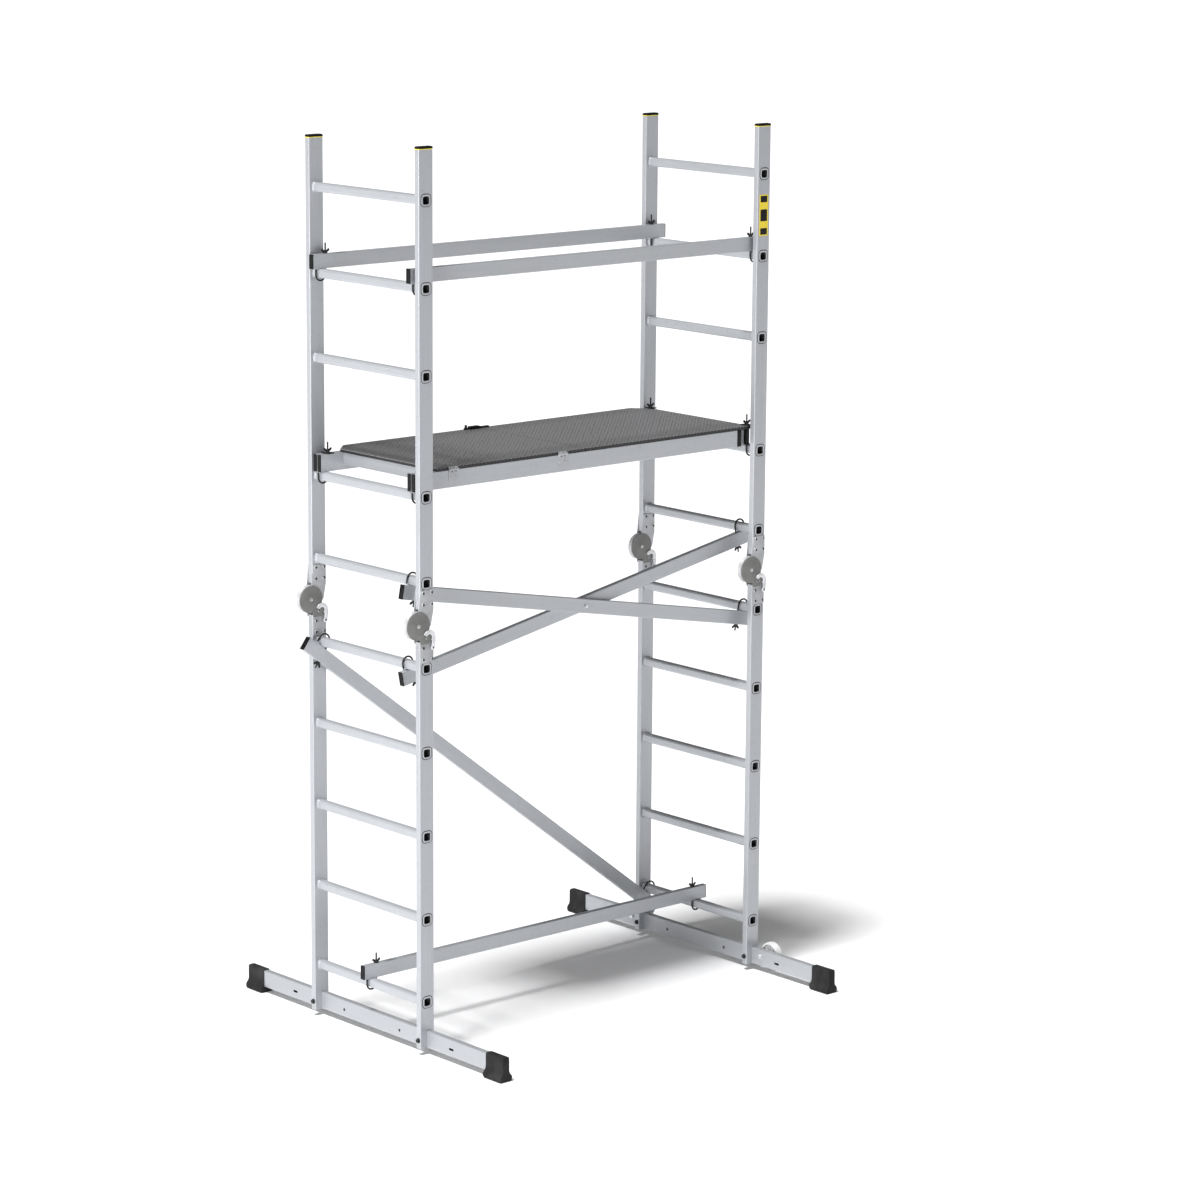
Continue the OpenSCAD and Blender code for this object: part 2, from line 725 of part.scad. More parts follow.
module brace_frame(b) {
  translate([b[0][0], b[2], b[0][1]]) rotate([0, slope(b[0], b[1]), 0])
    mirror([0, 0, b[3] == over ? 0 : 1]) children();
}

// The frame at each end of a brace, with its shank on the +X side.
module brace_ends(b) {
  brace_frame(b) {
    children();
    translate([norm(b[1] - b[0]), 0, 0]) mirror([1, 0, 0]) children();
  }
}

module brace_tube(b) {
  turn = slope(b[0], b[1]);
  span = norm(b[1] - b[0]);
  shank = hook_x(turn);
  low = reach(turn) + seat;
  brace_frame(b) difference() {
    along_x(shank - b[4], span - shank + b[4]) translate([0, low + brace_height / 2])
      box_section(brace_thick, brace_height, 2, brace_wall);
    for (x = [shank, span - shank])
      translate([x, 0, low - 1]) cylinder(d = rod_d + 1, h = brace_height + 2);
  }
}

module brace_plugs(b) {
  turn = slope(b[0], b[1]);
  from = hook_x(turn) - b[4] - plug_gap;
  low = reach(turn) + seat;
  brace_ends(b) translate([0, 0, low + brace_height / 2]) {
    along_x(from - plug_flange, from) round_rect(brace_thick, brace_height, 2);
    along_x(from, from + plug_depth)
      round_rect(brace_thick - 2 * brace_wall - 0.2, brace_height - 2 * brace_wall - 0.2, 0.6);
  }
}

// A rod bent round the rung, with a threaded shank through what it clamps.
module hook_bolt(turn, clamped, tail) {
  r = hook_x(turn);
  drop = hook_drop(rung_size / 2 - rung_corner);
  top = reach(turn) + seat + clamped + washer_t + nut_h + tail;
  translate([0, 0, -drop]) {
    translate([r, 0, 0]) cylinder(d = rod_d, h = top + drop);
    translate([-r, 0, 0]) cylinder(d = rod_d, h = hook_reach + drop);
    rotate([-90, 0, 0]) rotate_extrude(angle = 180) translate([r, 0]) circle(d = rod_d);
  }
}

module shank_washer(turn, clamped) {
  translate([hook_x(turn), 0, reach(turn) + seat + clamped]) difference() {
    cylinder(d = 2.7 * rod_d, h = washer_t);
    translate([0, 0, -1]) cylinder(d = rod_d + 0.4, h = washer_t + 2);
  }
}

module wing_nut(turn, clamped) {
  translate([hook_x(turn), 0, reach(turn) + seat + clamped + washer_t]) difference() {
    union() {
      cylinder(d1 = 2 * rod_d, d2 = 1.6 * rod_d, h = nut_h);
      along_y(-1.5, 1.5) for (s = [-1, 1]) {
        polygon([[0, 1], [s * 8, 1], [s * 15, 6.5], [s * 11, 13], [s * 4, 7], [0, 7]]);
        translate([s * 13, 9.6]) circle(4);
      }
    }
    translate([0, 0, -1]) cylinder(d = rod_d + 0.2, h = 30);
  }
}

module cross_hole(d, y0, y1) {
  turn = slope(cross_high, right_low);
  drop = (reach(turn) + seat + brace_height / 2) / cos(turn);
  rod_y(rung_x + ladder_spacing / 2, (fold_rung + upper_z[0]) / 2 - drop, d, y0, y1);
}

module bottom_brace() { color(alu) in_place() brace_tube(BOTTOM); }
module long_diagonal() { color(alu) in_place() brace_tube(DIAGONAL); }
module near_guard_rail() { color(alu) in_place() brace_tube(GUARD_NEAR); }
module far_guard_rail() { color(alu) in_place() brace_tube(GUARD_FAR); }

module front_cross_brace() {
  color(alu) in_place() difference() {
    brace_tube(CROSS_FRONT);
    cross_hole(rod_d + 2 * bolt_clear, 0, 200);
  }
}

module rear_cross_brace() {
  color(alu) in_place() difference() {
    brace_tube(CROSS_REAR);
    cross_hole(rod_d + 2 * bolt_clear, 0, 200);
  }
}

// The bolt where the cross braces meet, with its nut, end washers and middle washer.
module cross_bolt() {
  near = cross_front - brace_thick / 2;
  far = cross_rear + brace_thick / 2;
  color(steel) in_place() {
    cross_hole(rod_d, near - 1.6, far + 12);
    cross_hole(2 * rod_d, near - 1.6, near);
    cross_hole(1.6 * rod_d, near - 6, near - 1.6);
    difference() {
      cross_hole(2.4 * rod_d, near + brace_thick, near + brace_thick + cross_gap);
      cross_hole(rod_d + 2 * bolt_clear, near, far);
    }
    difference() {
      cross_hole(1.7 * rod_d, far, far + 8);
      cross_hole(rod_d + 0.2, far - 1, far + 9);
    }
  }
}

module tube_end_plugs() {
  color(black) in_place() for (b = concat(BRACES, GUARDS)) brace_plugs(b);
}

module brace_hook_bolts() {
  color(steel) in_place() for (b = concat(BRACES, GUARDS))
    brace_ends(b) hook_bolt(slope(b[0], b[1]), brace_height, thread_tail[b[3] == over ? 1 : 0]);
}

// The platform's hooks stand between the tubes of each twin rail. On the right they
// also pass the deck's edge.
clamp_left = rail_height + clamp_t;
clamp_right = rail_height + deck_t + clamp_t;

module platform_clamps(right) {
  both_sides() translate([right ? ladder_spacing + rung_x : rung_x, rail_mid, deck_rung])
    mirror([right ? 1 : 0, 0, 0]) children();
}

module platform_hook_bolts() {
  color(steel) in_place() {
    platform_clamps(false) hook_bolt(0, clamp_left, thread_tail[1]);
    platform_clamps(true) hook_bolt(0, clamp_right, thread_tail[1]);
  }
}

module wing_nuts() {
  color(steel) in_place() {
    for (b = concat(BRACES, GUARDS)) brace_ends(b) wing_nut(slope(b[0], b[1]), brace_height);
    platform_clamps(false) wing_nut(0, clamp_left);
    platform_clamps(true) wing_nut(0, clamp_right);
  }
}

module washers() {
  color(steel) in_place() {
    for (b = concat(BRACES, GUARDS))
      brace_ends(b) shank_washer(slope(b[0], b[1]), brace_height);
    platform_clamps(false) shank_washer(0, clamp_left);
    platform_clamps(true) shank_washer(0, clamp_right);
  }
}

module clamp_plate(clamped) {
  translate([hook_x(0), 0, reach(0) + seat + clamped - clamp_t]) difference() {
    translate([-15, -twin / 2, 0]) cube([30, twin, clamp_t]);
    translate([0, 0, -1]) cylinder(d = rod_d + 0.6, h = clamp_t + 2);
  }
}

module clamp_plates() {
  color(black) in_place() {
    platform_clamps(false) clamp_plate(clamp_left);
    platform_clamps(true) clamp_plate(clamp_right);
  }
}

// ---- Platform ----

// One tube of a twin rail, with its outer face at y and its right end at x.
module platform_tube(y, x) {
  along_x(rail_left, x) translate([y + rail_thick / 2, rail_z + rail_height / 2])
    box_section(rail_thick, rail_height, 2, brace_wall);
}

module twin_rail() {
  platform_tube(rail_edge, ladder_spacing + outer_stop);
  platform_tube(rail_edge + rail_thick + rail_gap, ladder_spacing + inner_stop);
}

module rail_plug(y, x, head, side) {
  translate([x, y + rail_thick / 2, rail_z + rail_height / 2]) mirror([side < 0 ? 1 : 0, 0, 0]) {
    along_x(0, head) round_rect(rail_thick, rail_height, 2);
    along_x(-plug_depth, 0)
      round_rect(rail_thick - 2 * brace_wall - 0.2, rail_height - 2 * brace_wall - 0.2, 0.6);
  }
}

module near_platform_rails() { color(alu) in_place() twin_rail(); }
module far_platform_rails() { color(alu) in_place() far_side() twin_rail(); }

module rail_end_plugs() {
  inner_y = rail_edge + rail_thick + rail_gap;
  color(black) in_place() both_sides() {
    for (y = [rail_edge, inner_y]) rail_plug(y, rail_left, plug_flange, -1);
    rail_plug(rail_edge, ladder_spacing + outer_stop, outer_head, 1);
    rail_plug(inner_y, ladder_spacing + inner_stop, inner_head, 1);
  }
}

module platform_cross_bars() {
  low = rail_edge + twin;
  color(alu) in_place()
    for (x = [deck_left + 4, seam_x + hatch_gap / 2 - cross_bar_w / 2, ladder_spacing - 60])
      along_y(low, ladder_width - low)
        translate([x + cross_bar_w / 2, deck_z - cross_bar_h / 2])
          box_section(cross_bar_w, cross_bar_h, 2, brace_wall);
}

module deck_panel() {
  color([0.33, 0.32, 0.32]) in_place() difference() {
    translate([0, 0, deck_z]) linear_extrude(deck_t) polygon([[seam_x + hatch_gap, rail_edge],
      [deck_edge, rail_edge], [deck_edge, deck_far - deck_chamfer],
      [deck_edge - deck_chamfer, deck_far], [seam_x + hatch_gap, deck_far]]);
    both_sides() translate([ladder_spacing + rung_x - hook_x(0), rail_mid, deck_z - 1]) {
      cylinder(d = rod_d + 2, h = deck_t + 2);
      translate([0, -rod_d / 2 - 1, 0]) cube([deck_right + 30, rod_d + 2, deck_t + 2]);
    }
    deck_screw_places() cylinder(d = screw_d / 2 + 0.4, h = deck_t + 2, center = true);
  }
}

// Three screws down each side of the fixed deck.
module deck_screw_places() {
  rows = [rail_edge + rail_thick / 2, ladder_width - rail_edge - rail_thick / 2];
  for (i = [0:2], y = rows)
    translate([seam_x + 128 + i * (deck_edge - seam_x - 294) / 2, y, deck_z + deck_t / 2])
      children();
}

module deck_screws() {
  color(steel) in_place() deck_screw_places() {
    translate([0, 0, -deck_t / 2]) cylinder(d = screw_d / 2, h = deck_t);
    translate([0, 0, deck_t / 2]) cylinder(d1 = screw_d, d2 = screw_d - 2, h = 1.2);
  }
}

module hatch_panel() {
  color([0.35, 0.34, 0.34]) in_place()
    translate([0, 0, deck_z + touch]) linear_extrude(deck_t - touch)
      polygon([[deck_left, rail_edge], [seam_x, rail_edge], [seam_x, deck_far],
        [deck_left + deck_chamfer, deck_far], [deck_left, deck_far - deck_chamfer]]);
}

hatch_hinge_x = [deck_left + 48, seam_x - 120];

// The five knuckles of a hinge: the leaf has the outer and middle ones, the strap the rest.
module knuckles(x, which) {
  step = hatch_hinge_length / 5;
  for (i = which)
    rod_x(hatch_axis_y, hatch_axis_z, 2 * knuckle_r, x + i * step + 0.15, x + (i + 1) * step - 0.15);
}

// The fixed leaf is screwed to the rail's face and carries the pin.
module hatch_hinge_leaves() {
  leaf = 2;
  low = deck_z - 36;
  step = hatch_hinge_length / 5;
  color(steel) in_place() for (x = hatch_hinge_x) {
    translate([x, rail_edge - leaf, low]) cube([hatch_hinge_length, leaf, 30]);
    for (i = [0, 2, 4]) translate([x + i * step + 0.15, rail_edge - leaf - 3, deck_z - 8])
      cube([step - 0.3, leaf + 3, 7]);
    knuckles(x, [0, 2, 4]);
    rod_x(hatch_axis_y, hatch_axis_z, 2 * hatch_pin_r, x, x + hatch_hinge_length);
    for (dx = [9, hatch_hinge_length - 9])
      translate([x + dx, rail_edge - leaf, low + 12]) rotate([90, 0, 0])
        cylinder(d1 = 8, d2 = 6, h = 1.5);
  }
}

// The moving straps are fixed to the hatch's edge and turn on the pin.
module hatch_hinge_straps() {
  step = hatch_hinge_length / 5;
  color(steel) in_place() for (x = hatch_hinge_x) difference() {
    union() {
      knuckles(x, [1, 3]);
      for (i = [1, 3]) translate([x + i * step + 0.15, hatch_axis_y, hatch_axis_z])
        cube([step - 0.3, knuckle_r + 0.5, deck_t - 2]);
      translate([x, rail_edge - 2, hatch_axis_z + knuckle_r + 0.6])
        cube([hatch_hinge_length, 2, deck_t - 2 - knuckle_r - 0.6]);
    }
    rod_x(hatch_axis_y, hatch_axis_z, 2 * hatch_pin_r + 0.16, x - 1, x + hatch_hinge_length + 1);
  }
}

// A sliding bolt in a guide on the hatch, with its tongue over the fixed deck.
module latch_guide() {
  side = latch_bolt_w / 2 + 4;
  color(black) in_place() translate([seam_x - latch_guide_l - 4, latch_y, latch_z]) difference() {
    translate([0, -side, 0]) cube([latch_guide_l, 2 * side, latch_bolt_h + 4]);
    translate([-1, -latch_bolt_w / 2 - 0.1, -1])
      cube([latch_guide_l + 2, latch_bolt_w + 0.2, latch_bolt_h + touch + 1.1]);
  }
}

module latch_bolt() {
  back = latch_guide_l + 26;
  color(black) in_place() translate([seam_x, latch_y, latch_z + touch]) {
    translate([-back, -latch_bolt_w / 2, 0]) cube([back + latch_reach, latch_bolt_w, latch_bolt_h]);
    translate([6 - back, 0, 0]) cylinder(d = latch_bolt_w - 1, h = latch_bolt_h + 10);
  }
}

left_lower_near_stile();
left_lower_far_stile();
left_upper_near_stile();
left_upper_far_stile();
right_lower_near_stile();
right_lower_far_stile();
right_upper_near_stile();
right_upper_far_stile();
left_lower_rungs();
left_upper_rungs();
right_lower_rungs();
right_upper_rungs();
upper_hinge_plates();
lower_hinge_plates();
hinge_drums();
hinge_pins();
lock_pins();
hinge_rivets();
lever_pivots();
left_near_lever();
left_far_lever();
right_near_lever();
right_far_lever();
left_base_beam();
right_base_beam();
rubber_feet();
stile_foot_plugs();
base_bolts();
base_nuts();
near_wheel();
far_wheel();
wheel_bolts();
wheel_spacers();
wheel_nuts();
stile_caps();
cap_bands();
bottom_brace();
long_diagonal();
front_cross_brace();
rear_cross_brace();
cross_bolt();
near_guard_rail();
far_guard_rail();
tube_end_plugs();
brace_hook_bolts();
platform_hook_bolts();
wing_nuts();
washers();
near_platform_rails();
far_platform_rails();
rail_end_plugs();
clamp_plates();
platform_cross_bars();
deck_panel();
deck_screws();
hatch_panel();
hatch_hinge_leaves();
hatch_hinge_straps();
latch_guide();
latch_bolt();
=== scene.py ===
"""A baker scaffold: two folding aluminium ladders, a platform with a hatch, guard rails and
braces, standing on a pale floor. Lengths in the sections are in millimetres from the corner
of the left ladder's near stile, and at() turns them into metres in the frame."""
import bmesh
import bpy
import numpy as np
from mathutils import Matrix, Vector


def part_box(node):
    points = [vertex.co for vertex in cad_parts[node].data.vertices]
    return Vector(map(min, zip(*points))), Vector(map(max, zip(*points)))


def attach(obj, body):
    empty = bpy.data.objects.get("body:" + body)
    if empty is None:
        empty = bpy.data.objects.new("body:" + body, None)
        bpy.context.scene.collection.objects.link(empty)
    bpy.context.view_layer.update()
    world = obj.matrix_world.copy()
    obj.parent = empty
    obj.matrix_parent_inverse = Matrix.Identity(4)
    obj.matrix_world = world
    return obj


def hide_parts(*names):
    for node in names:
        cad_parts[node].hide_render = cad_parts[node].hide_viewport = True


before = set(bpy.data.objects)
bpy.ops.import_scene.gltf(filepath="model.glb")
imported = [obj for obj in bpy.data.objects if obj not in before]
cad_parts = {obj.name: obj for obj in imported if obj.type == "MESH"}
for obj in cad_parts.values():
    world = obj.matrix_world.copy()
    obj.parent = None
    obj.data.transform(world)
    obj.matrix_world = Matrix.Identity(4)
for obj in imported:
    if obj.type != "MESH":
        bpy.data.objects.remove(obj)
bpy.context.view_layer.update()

# ---- View, floor and light ----
# A long lens stands a little above the platform, near the left ladder's front corner. The
# floor is a pale sheet, and the light comes softly from the left, the front and above.
eye = Vector((-8.507354, -9.841030, 4.045086))
yaw, pitch, roll = 0.72870, 0.20170, 0.00730
lean, hold = float(np.sin(roll)), float(np.cos(roll))
ahead = Vector((np.sin(yaw) * np.cos(pitch), np.cos(yaw) * np.cos(pitch), -np.sin(pitch)))
level = Vector((np.cos(yaw), -np.sin(yaw), 0.0))
upright = level.cross(ahead)
across = hold * level + lean * upright
upward = -lean * level + hold * upright
sensor_width, lens_reach = 36.0, 3908.7 / 1200
lens = bpy.data.cameras.new("view")
lens.sensor_width, lens.lens = sensor_width, lens_reach * sensor_width
lens.clip_end = 100.0
camera = bpy.data.objects.new("view", lens)
bpy.context.collection.objects.link(camera)
camera.matrix_world = Matrix((
    (across.x, upward.x, -ahead.x, eye.x), (across.y, upward.y, -ahead.y, eye.y),
    (across.z, upward.z, -ahead.z, eye.z), (0, 0, 0, 1)))
bpy.context.scene.camera = camera
bpy.context.scene.view_settings.view_transform = "Standard"

floor_size = 60.0
floor_mesh = bpy.data.meshes.new("floor")
floor_mesh.from_pydata([(-floor_size, -floor_size, 0), (floor_size, -floor_size, 0),
                        (floor_size, floor_size, 0), (-floor_size, floor_size, 0)],
                       [], [(0, 1, 2, 3)])
floor = bpy.data.objects.new("floor", floor_mesh)
bpy.context.collection.objects.link(floor)
floor_paint = bpy.data.materials.new("floor_paint")
floor_paint.use_nodes = True
floor_shader = floor_paint.node_tree.nodes["Principled BSDF"]
floor_shader.inputs["Base Color"].default_value = (0.93, 0.93, 0.935, 1)
floor_shader.inputs["Roughness"].default_value = 0.75
floor_shader.inputs["Specular IOR Level"].default_value = 0.2
floor.data.materials.append(floor_paint)

sky = bpy.data.worlds.new("studio")
bpy.context.scene.world = sky
sky.use_nodes = True
sky_shader = sky.node_tree.nodes["Background"]
sky_shader.inputs["Color"].default_value = (1.0, 1.0, 1.0, 1)
# The backdrop is white to the eye, but lights the scaffold more gently than it looks.
sky_rays = sky.node_tree.nodes.new("ShaderNodeLightPath")
sky_strength = sky.node_tree.nodes.new("ShaderNodeMapRange")
sky_strength.inputs["To Min"].default_value = 0.2
sky_strength.inputs["To Max"].default_value = 1.0
sky.node_tree.links.new(sky_rays.outputs["Is Camera Ray"], sky_strength.inputs["Value"])
sky.node_tree.links.new(sky_strength.outputs["Result"], sky_shader.inputs["Strength"])


def shine(lamp, place, toward):
    """The lamp is put at place and turned to shine along toward."""
    holder = bpy.data.objects.new(lamp.name, lamp)
    bpy.context.collection.objects.link(holder)
    holder.matrix_world = (Matrix.Translation(Vector(place))
                           @ Vector(toward).to_track_quat("-Z", "Y").to_matrix().to_4x4())


key = bpy.data.lights.new("key", "SUN")
key.energy, key.angle = 3.9, np.radians(12.0)
shine(key, (0, 0, 0), (0.33, 0.04, -0.94))
fill = bpy.data.lights.new("fill", "AREA")
fill.shape, fill.size, fill.energy = "DISK", 3.0, 330
shine(fill, (-7.5, -1.6, 1.8), (7.5, 1.6, -0.4))

# ---- Stiles ----
# Eight rectangular aluminium tubes, extruded and left bare, so the die's lines run along
# them. Each is punched for its rungs and slotted at the foot for the base beam.
corner = np.array(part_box("left_lower_near_stile")[0], float) * 1000.0
ladder_step = (np.array(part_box("right_lower_near_stile")[0], float) * 1000.0 - corner)[0]
ladder_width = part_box("left_lower_far_stile")[1][1] * 1000.0 - corner[1]
stile_x, stile_y = 57.0, 22.0


def at(points):
    """Millimetres from the left ladder's corner become metres in the frame."""
    return (np.asarray(points, float) + corner) / 1000.0


def node_group(name, inputs, outputs):
    """An empty shader group with the named sockets, and its input and output nodes."""
    tree = bpy.data.node_groups.new(name, "ShaderNodeTree")
    for label, kind, value in inputs:
        socket = tree.interface.new_socket(name=label, in_out="INPUT", socket_type=kind)
        if value is not None:
            socket.default_value = value
    for label, kind in outputs:
        tree.interface.new_socket(name=label, in_out="OUTPUT", socket_type=kind)
    return tree, tree.nodes.new("NodeGroupInput"), tree.nodes.new("NodeGroupOutput")


# Grain: noise drawn out along one direction, for the lines that a die or a brush leaves.
grain, grain_in, grain_out = node_group(
    "drawn_grain",
    [("Vector", "NodeSocketVector", None), ("Stretch", "NodeSocketVector", (1, 1, 1)),
     ("Detail", "NodeSocketFloat", 3.0)],
    [("Grain", "NodeSocketFloat")])
grain_map = grain.nodes.new("ShaderNodeMapping")
grain_noise = grain.nodes.new("ShaderNodeTexNoise")
grain_noise.inputs["Scale"].default_value = 1.0
grain_noise.inputs["Roughness"].default_value = 0.62
grain.links.new(grain_in.outputs["Vector"], grain_map.inputs["Vector"])
grain.links.new(grain_in.outputs["Stretch"], grain_map.inputs["Scale"])
grain.links.new(grain_map.outputs["Vector"], grain_noise.inputs["Vector"])
grain.links.new(grain_in.outputs["Detail"], grain_noise.inputs["Detail"])
grain.links.new(grain_noise.outputs["Fac"], grain_out.inputs["Grain"])

# Marks: broad smudges from hands and storage, with small scuffs among them.
marks, marks_in, marks_out = node_group(
    "handling_marks",
    [("Vector", "NodeSocketVector", None), ("Smudge size", "NodeSocketFloat", 5.0),
     ("Scuff size", "NodeSocketFloat", 60.0)],
    [("Smudges", "NodeSocketFloat"), ("Scuffs", "NodeSocketFloat")])
for label, detail, low, high in (("Smudge", 4.0, 0.42, 0.68), ("Scuff", 6.0, 0.60, 0.74)):
    noise = marks.nodes.new("ShaderNodeTexNoise")
    noise.inputs["Detail"].default_value = detail
    spread = marks.nodes.new("ShaderNodeMapRange")
    spread.inputs["From Min"].default_value = low
    spread.inputs["From Max"].default_value = high
    marks.links.new(marks_in.outputs["Vector"], noise.inputs["Vector"])
    marks.links.new(marks_in.outputs[label + " size"], noise.inputs["Scale"])
    marks.links.new(noise.outputs["Fac"], spread.inputs["Value"])
    marks.links.new(spread.outputs["Result"], marks_out.inputs[label + "s"])


def finish(name, colour, roughness, metallic=0.0, **sockets):
    """A Principled material, its node tree and its shader. Other values go on the shader."""
    made = bpy.data.materials.new(name)
    made.use_nodes = True
    shader = made.node_tree.nodes["Principled BSDF"]
    shader.inputs["Base Color"].default_value = (*colour, 1)
    shader.inputs["Roughness"].default_value = roughness
    shader.inputs["Metallic"].default_value = metallic
    for label, value in sockets.items():
        shader.inputs[label.replace("_", " ")].default_value = value
    return made, made.node_tree, shader


def object_place(tree):
    """The material's Object coordinates, which stay with a piece when it moves."""
    return tree.nodes.new("ShaderNodeTexCoord").outputs["Object"]


def place_group(tree, group, source, **values):
    """The group's node in a material, fed from the socket source."""
    node = tree.nodes.new("ShaderNodeGroup")
    node.node_tree = group
    tree.links.new(source, node.inputs["Vector"])
    for label, value in values.items():
        node.inputs[label.replace("_", " ")].default_value = value
    return node


def between(tree, factor, low, high):
    """A number that runs from low to high as the factor runs from 0 to 1."""
    node = tree.nodes.new("ShaderNodeMapRange")
    tree.links.new(factor, node.inputs["Value"])
    node.inputs["To Min"].default_value, node.inputs["To Max"].default_value = low, high
    return node.outputs["Result"]


def blend_colours(tree, factor, first, second):
    """A colour that runs from first to second with the factor. Either may be a socket."""
    node = tree.nodes.new("ShaderNodeMix")
    node.data_type = "RGBA"
    tree.links.new(factor, node.inputs["Factor"])
    for socket, colour in ((node.inputs[6], first), (node.inputs[7], second)):
        if isinstance(colour, tuple):
            socket.default_value = (*colour, 1)
        else:
            tree.links.new(colour, socket)
    return node.outputs[2]


def tint(tree, shader, mask, first, second, most=None):
    """The base colour runs from first to second with the mask, or only as far as most."""
    factor = mask if most is None else between(tree, mask, 0, most)
    tree.links.new(blend_colours(tree, factor, first, second), shader.inputs["Base Color"])


def raise_bump(tree, shader, height, distance, strength):
    """A bump of the given height in metres on the shader's normal."""
    node = tree.nodes.new("ShaderNodeBump")
    node.inputs["Distance"].default_value = distance
    node.inputs["Strength"].default_value = strength
    tree.links.new(height, node.inputs["Height"])
    tree.links.new(node.outputs["Normal"], shader.inputs["Normal"])


def bare_aluminium(name, stretch, turn=0.0, tone=1.0):
    """Extruded aluminium with its grain drawn out along the smallest stretch. turn leans
    the grain in the XZ plane, for a tube that isn't level."""
    made, tree, shader = finish(name, (0.42, 0.43, 0.45), 0.42, 0.45)
    place = object_place(tree)
    if turn:
        leaning = tree.nodes.new("ShaderNodeMapping")
        leaning.inputs["Rotation"].default_value = (0, turn, 0)
        tree.links.new(place, leaning.inputs["Vector"])
        place = leaning.outputs["Vector"]
    lines = place_group(tree, grain, place, Stretch=stretch, Detail=4.0)
    broad = place_group(tree, grain, place, Stretch=tuple(0.12 * s for s in stretch), Detail=2.0)
    wear = place_group(tree, marks, place, Smudge_size=4.5, Scuff_size=70.0)
    bright = tuple(tone * part for part in (0.50, 0.515, 0.54))
    dull = tuple(tone * part for part in (0.40, 0.415, 0.44))
    base = blend_colours(tree, between(tree, lines.outputs["Grain"], -0.35, 1.35), dull, bright)
    worn = blend_colours(tree, between(tree, wear.outputs["Smudges"], 0.0, 0.30), base,
                         (0.43, 0.44, 0.455))
    tint(tree, shader, wear.outputs["Scuffs"], worn, (0.33, 0.335, 0.345), 0.35)
    tree.links.new(between(tree, broad.outputs["Grain"], 0.34, 0.52), shader.inputs["Roughness"])
    raise_bump(tree, shader, lines.outputs["Grain"], 0.00012, 0.6)
    return made


def wear_finish(nodes, made):
    """The named CAD nodes get the material."""
    for name in nodes:
        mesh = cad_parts[name].data
        mesh.materials.clear()
        mesh.materials.append(made)


fine, long_grain = 900.0, 5.0
stile_metal = bare_aluminium("stile_aluminium", (fine, fine, long_grain))
stiles = [f"{side}_{part}_{end}_stile" for side in ("left", "right")
          for part in ("lower", "upper") for end in ("near", "far")]
wear_finish(stiles, stile_metal)

# ---- Rungs ----
# Twenty square tubes with round corners and fine ribs for grip. Each is pushed through both
# stiles, then swaged: a bead grips the stile's inner face, and a flare its outer face.
rung_size, rung_corner, rung_wall, bead_rise = 30.0, 8.0, 2.0, 3.5
bead_width, flare_width = 4.0, 1.6
rung_pitch, first_rung, platform_gap = 280.0, 157.0, 110.0
lower_rungs = [first_rung + i * rung_pitch for i in range(5)]
upper_rungs = [lower_rungs[-1] + i * rung_pitch + (platform_gap if i > 2 else 0)
               for i in range(1, 6)]


def rounded_square(size, radius, flat_points=29, corner_points=7):
    """Points round a square with round corners, anticlockwise, with the outward direction
    at each and how far it is from the middle of its flat side, as a share of that side."""
    half, points, outward, share = size / 2 - radius, [], [], []
    for turn in range(4):
        side = np.linspace(-1, 1, flat_points)
        flat = np.column_stack([np.full_like(side, half + radius), side * half])
        arc = np.linspace(0, np.pi / 2, corner_points + 2)[1:-1]
        bend = half + radius * np.column_stack([np.cos(arc), np.sin(arc)])
        c, s = np.cos(turn * np.pi / 2), np.sin(turn * np.pi / 2)
        spin = np.array([[c, s], [-s, c]])
        points += [flat @ spin, bend @ spin]
        outward += [np.tile([1.0, 0.0], (len(side), 1)) @ spin,
                    np.column_stack([np.cos(arc), np.sin(arc)]) @ spin]
        share += [np.abs(side), np.full(len(arc), 2.0)]
    return np.vstack(points), np.vstack(outward), np.concatenate(share)


class Shell:
    """Closed surfaces that are collected and put into one mesh."""

    def __init__(self):
        self.points, self.faces, self.slots, self.size = [], [], [], 0

    def rows(self, grid, slot=0, loop=False, caps=True):
        """Quads between the successive closed rings of grid, an array of ring, point and
        XYZ. With loop the last ring joins the first; otherwise caps close both ends. slot is
        the material's number, or one number for each gap between rings."""
        n, m = grid.shape[:2]
        ring = np.arange(n if loop else n - 1)[:, None]
        step = np.arange(m)[None, :]
        first = self.size + ring * m
        second = self.size + ((ring + 1) % n) * m
        quads = np.stack([first + step, first + (step + 1) % m,
                          second + (step + 1) % m, second + step], -1).reshape(-1, 4)
        faces = quads.tolist()
        if caps and not loop:
            faces += [list(range(self.size, self.size + m)),
                      list(range(self.size + (n - 1) * m, self.size + n * m))]
        self.faces += faces
        gaps = np.broadcast_to(slot, len(ring))
        self.slots += np.repeat(gaps, m).tolist()
        if caps and not loop:
            self.slots += [int(gaps[0]), int(gaps[-1])]
        self.points.append(grid.reshape(-1, 3))
        self.size += n * m

    def piece(self, name, materials, body, stands_for, slot, sharp=35.0):
        """The collected surfaces as one object that rides on body."""
        mesh = bpy.data.meshes.new(name)
        mesh.from_pydata(at(np.vstack(self.points)).tolist(), [], self.faces)
        for made in materials:
            mesh.materials.append(made)
        mesh.polygons.foreach_set("material_index", np.array(self.slots, "i"))
        shape = bmesh.new()
        shape.from_mesh(mesh)
        bmesh.ops.remove_doubles(shape, verts=shape.verts, dist=2e-6)
        bmesh.ops.recalc_face_normals(shape, faces=shape.faces)
        shape.to_mesh(mesh)
        shape.free()
        mesh.shade_smooth()
        mesh.set_sharp_from_angle(angle=np.radians(sharp))
        made_object = bpy.data.objects.new(name, mesh)
        bpy.context.collection.objects.link(made_object)
        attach(made_object, body)
        if stands_for:
            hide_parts(*stands_for)
        return made_object


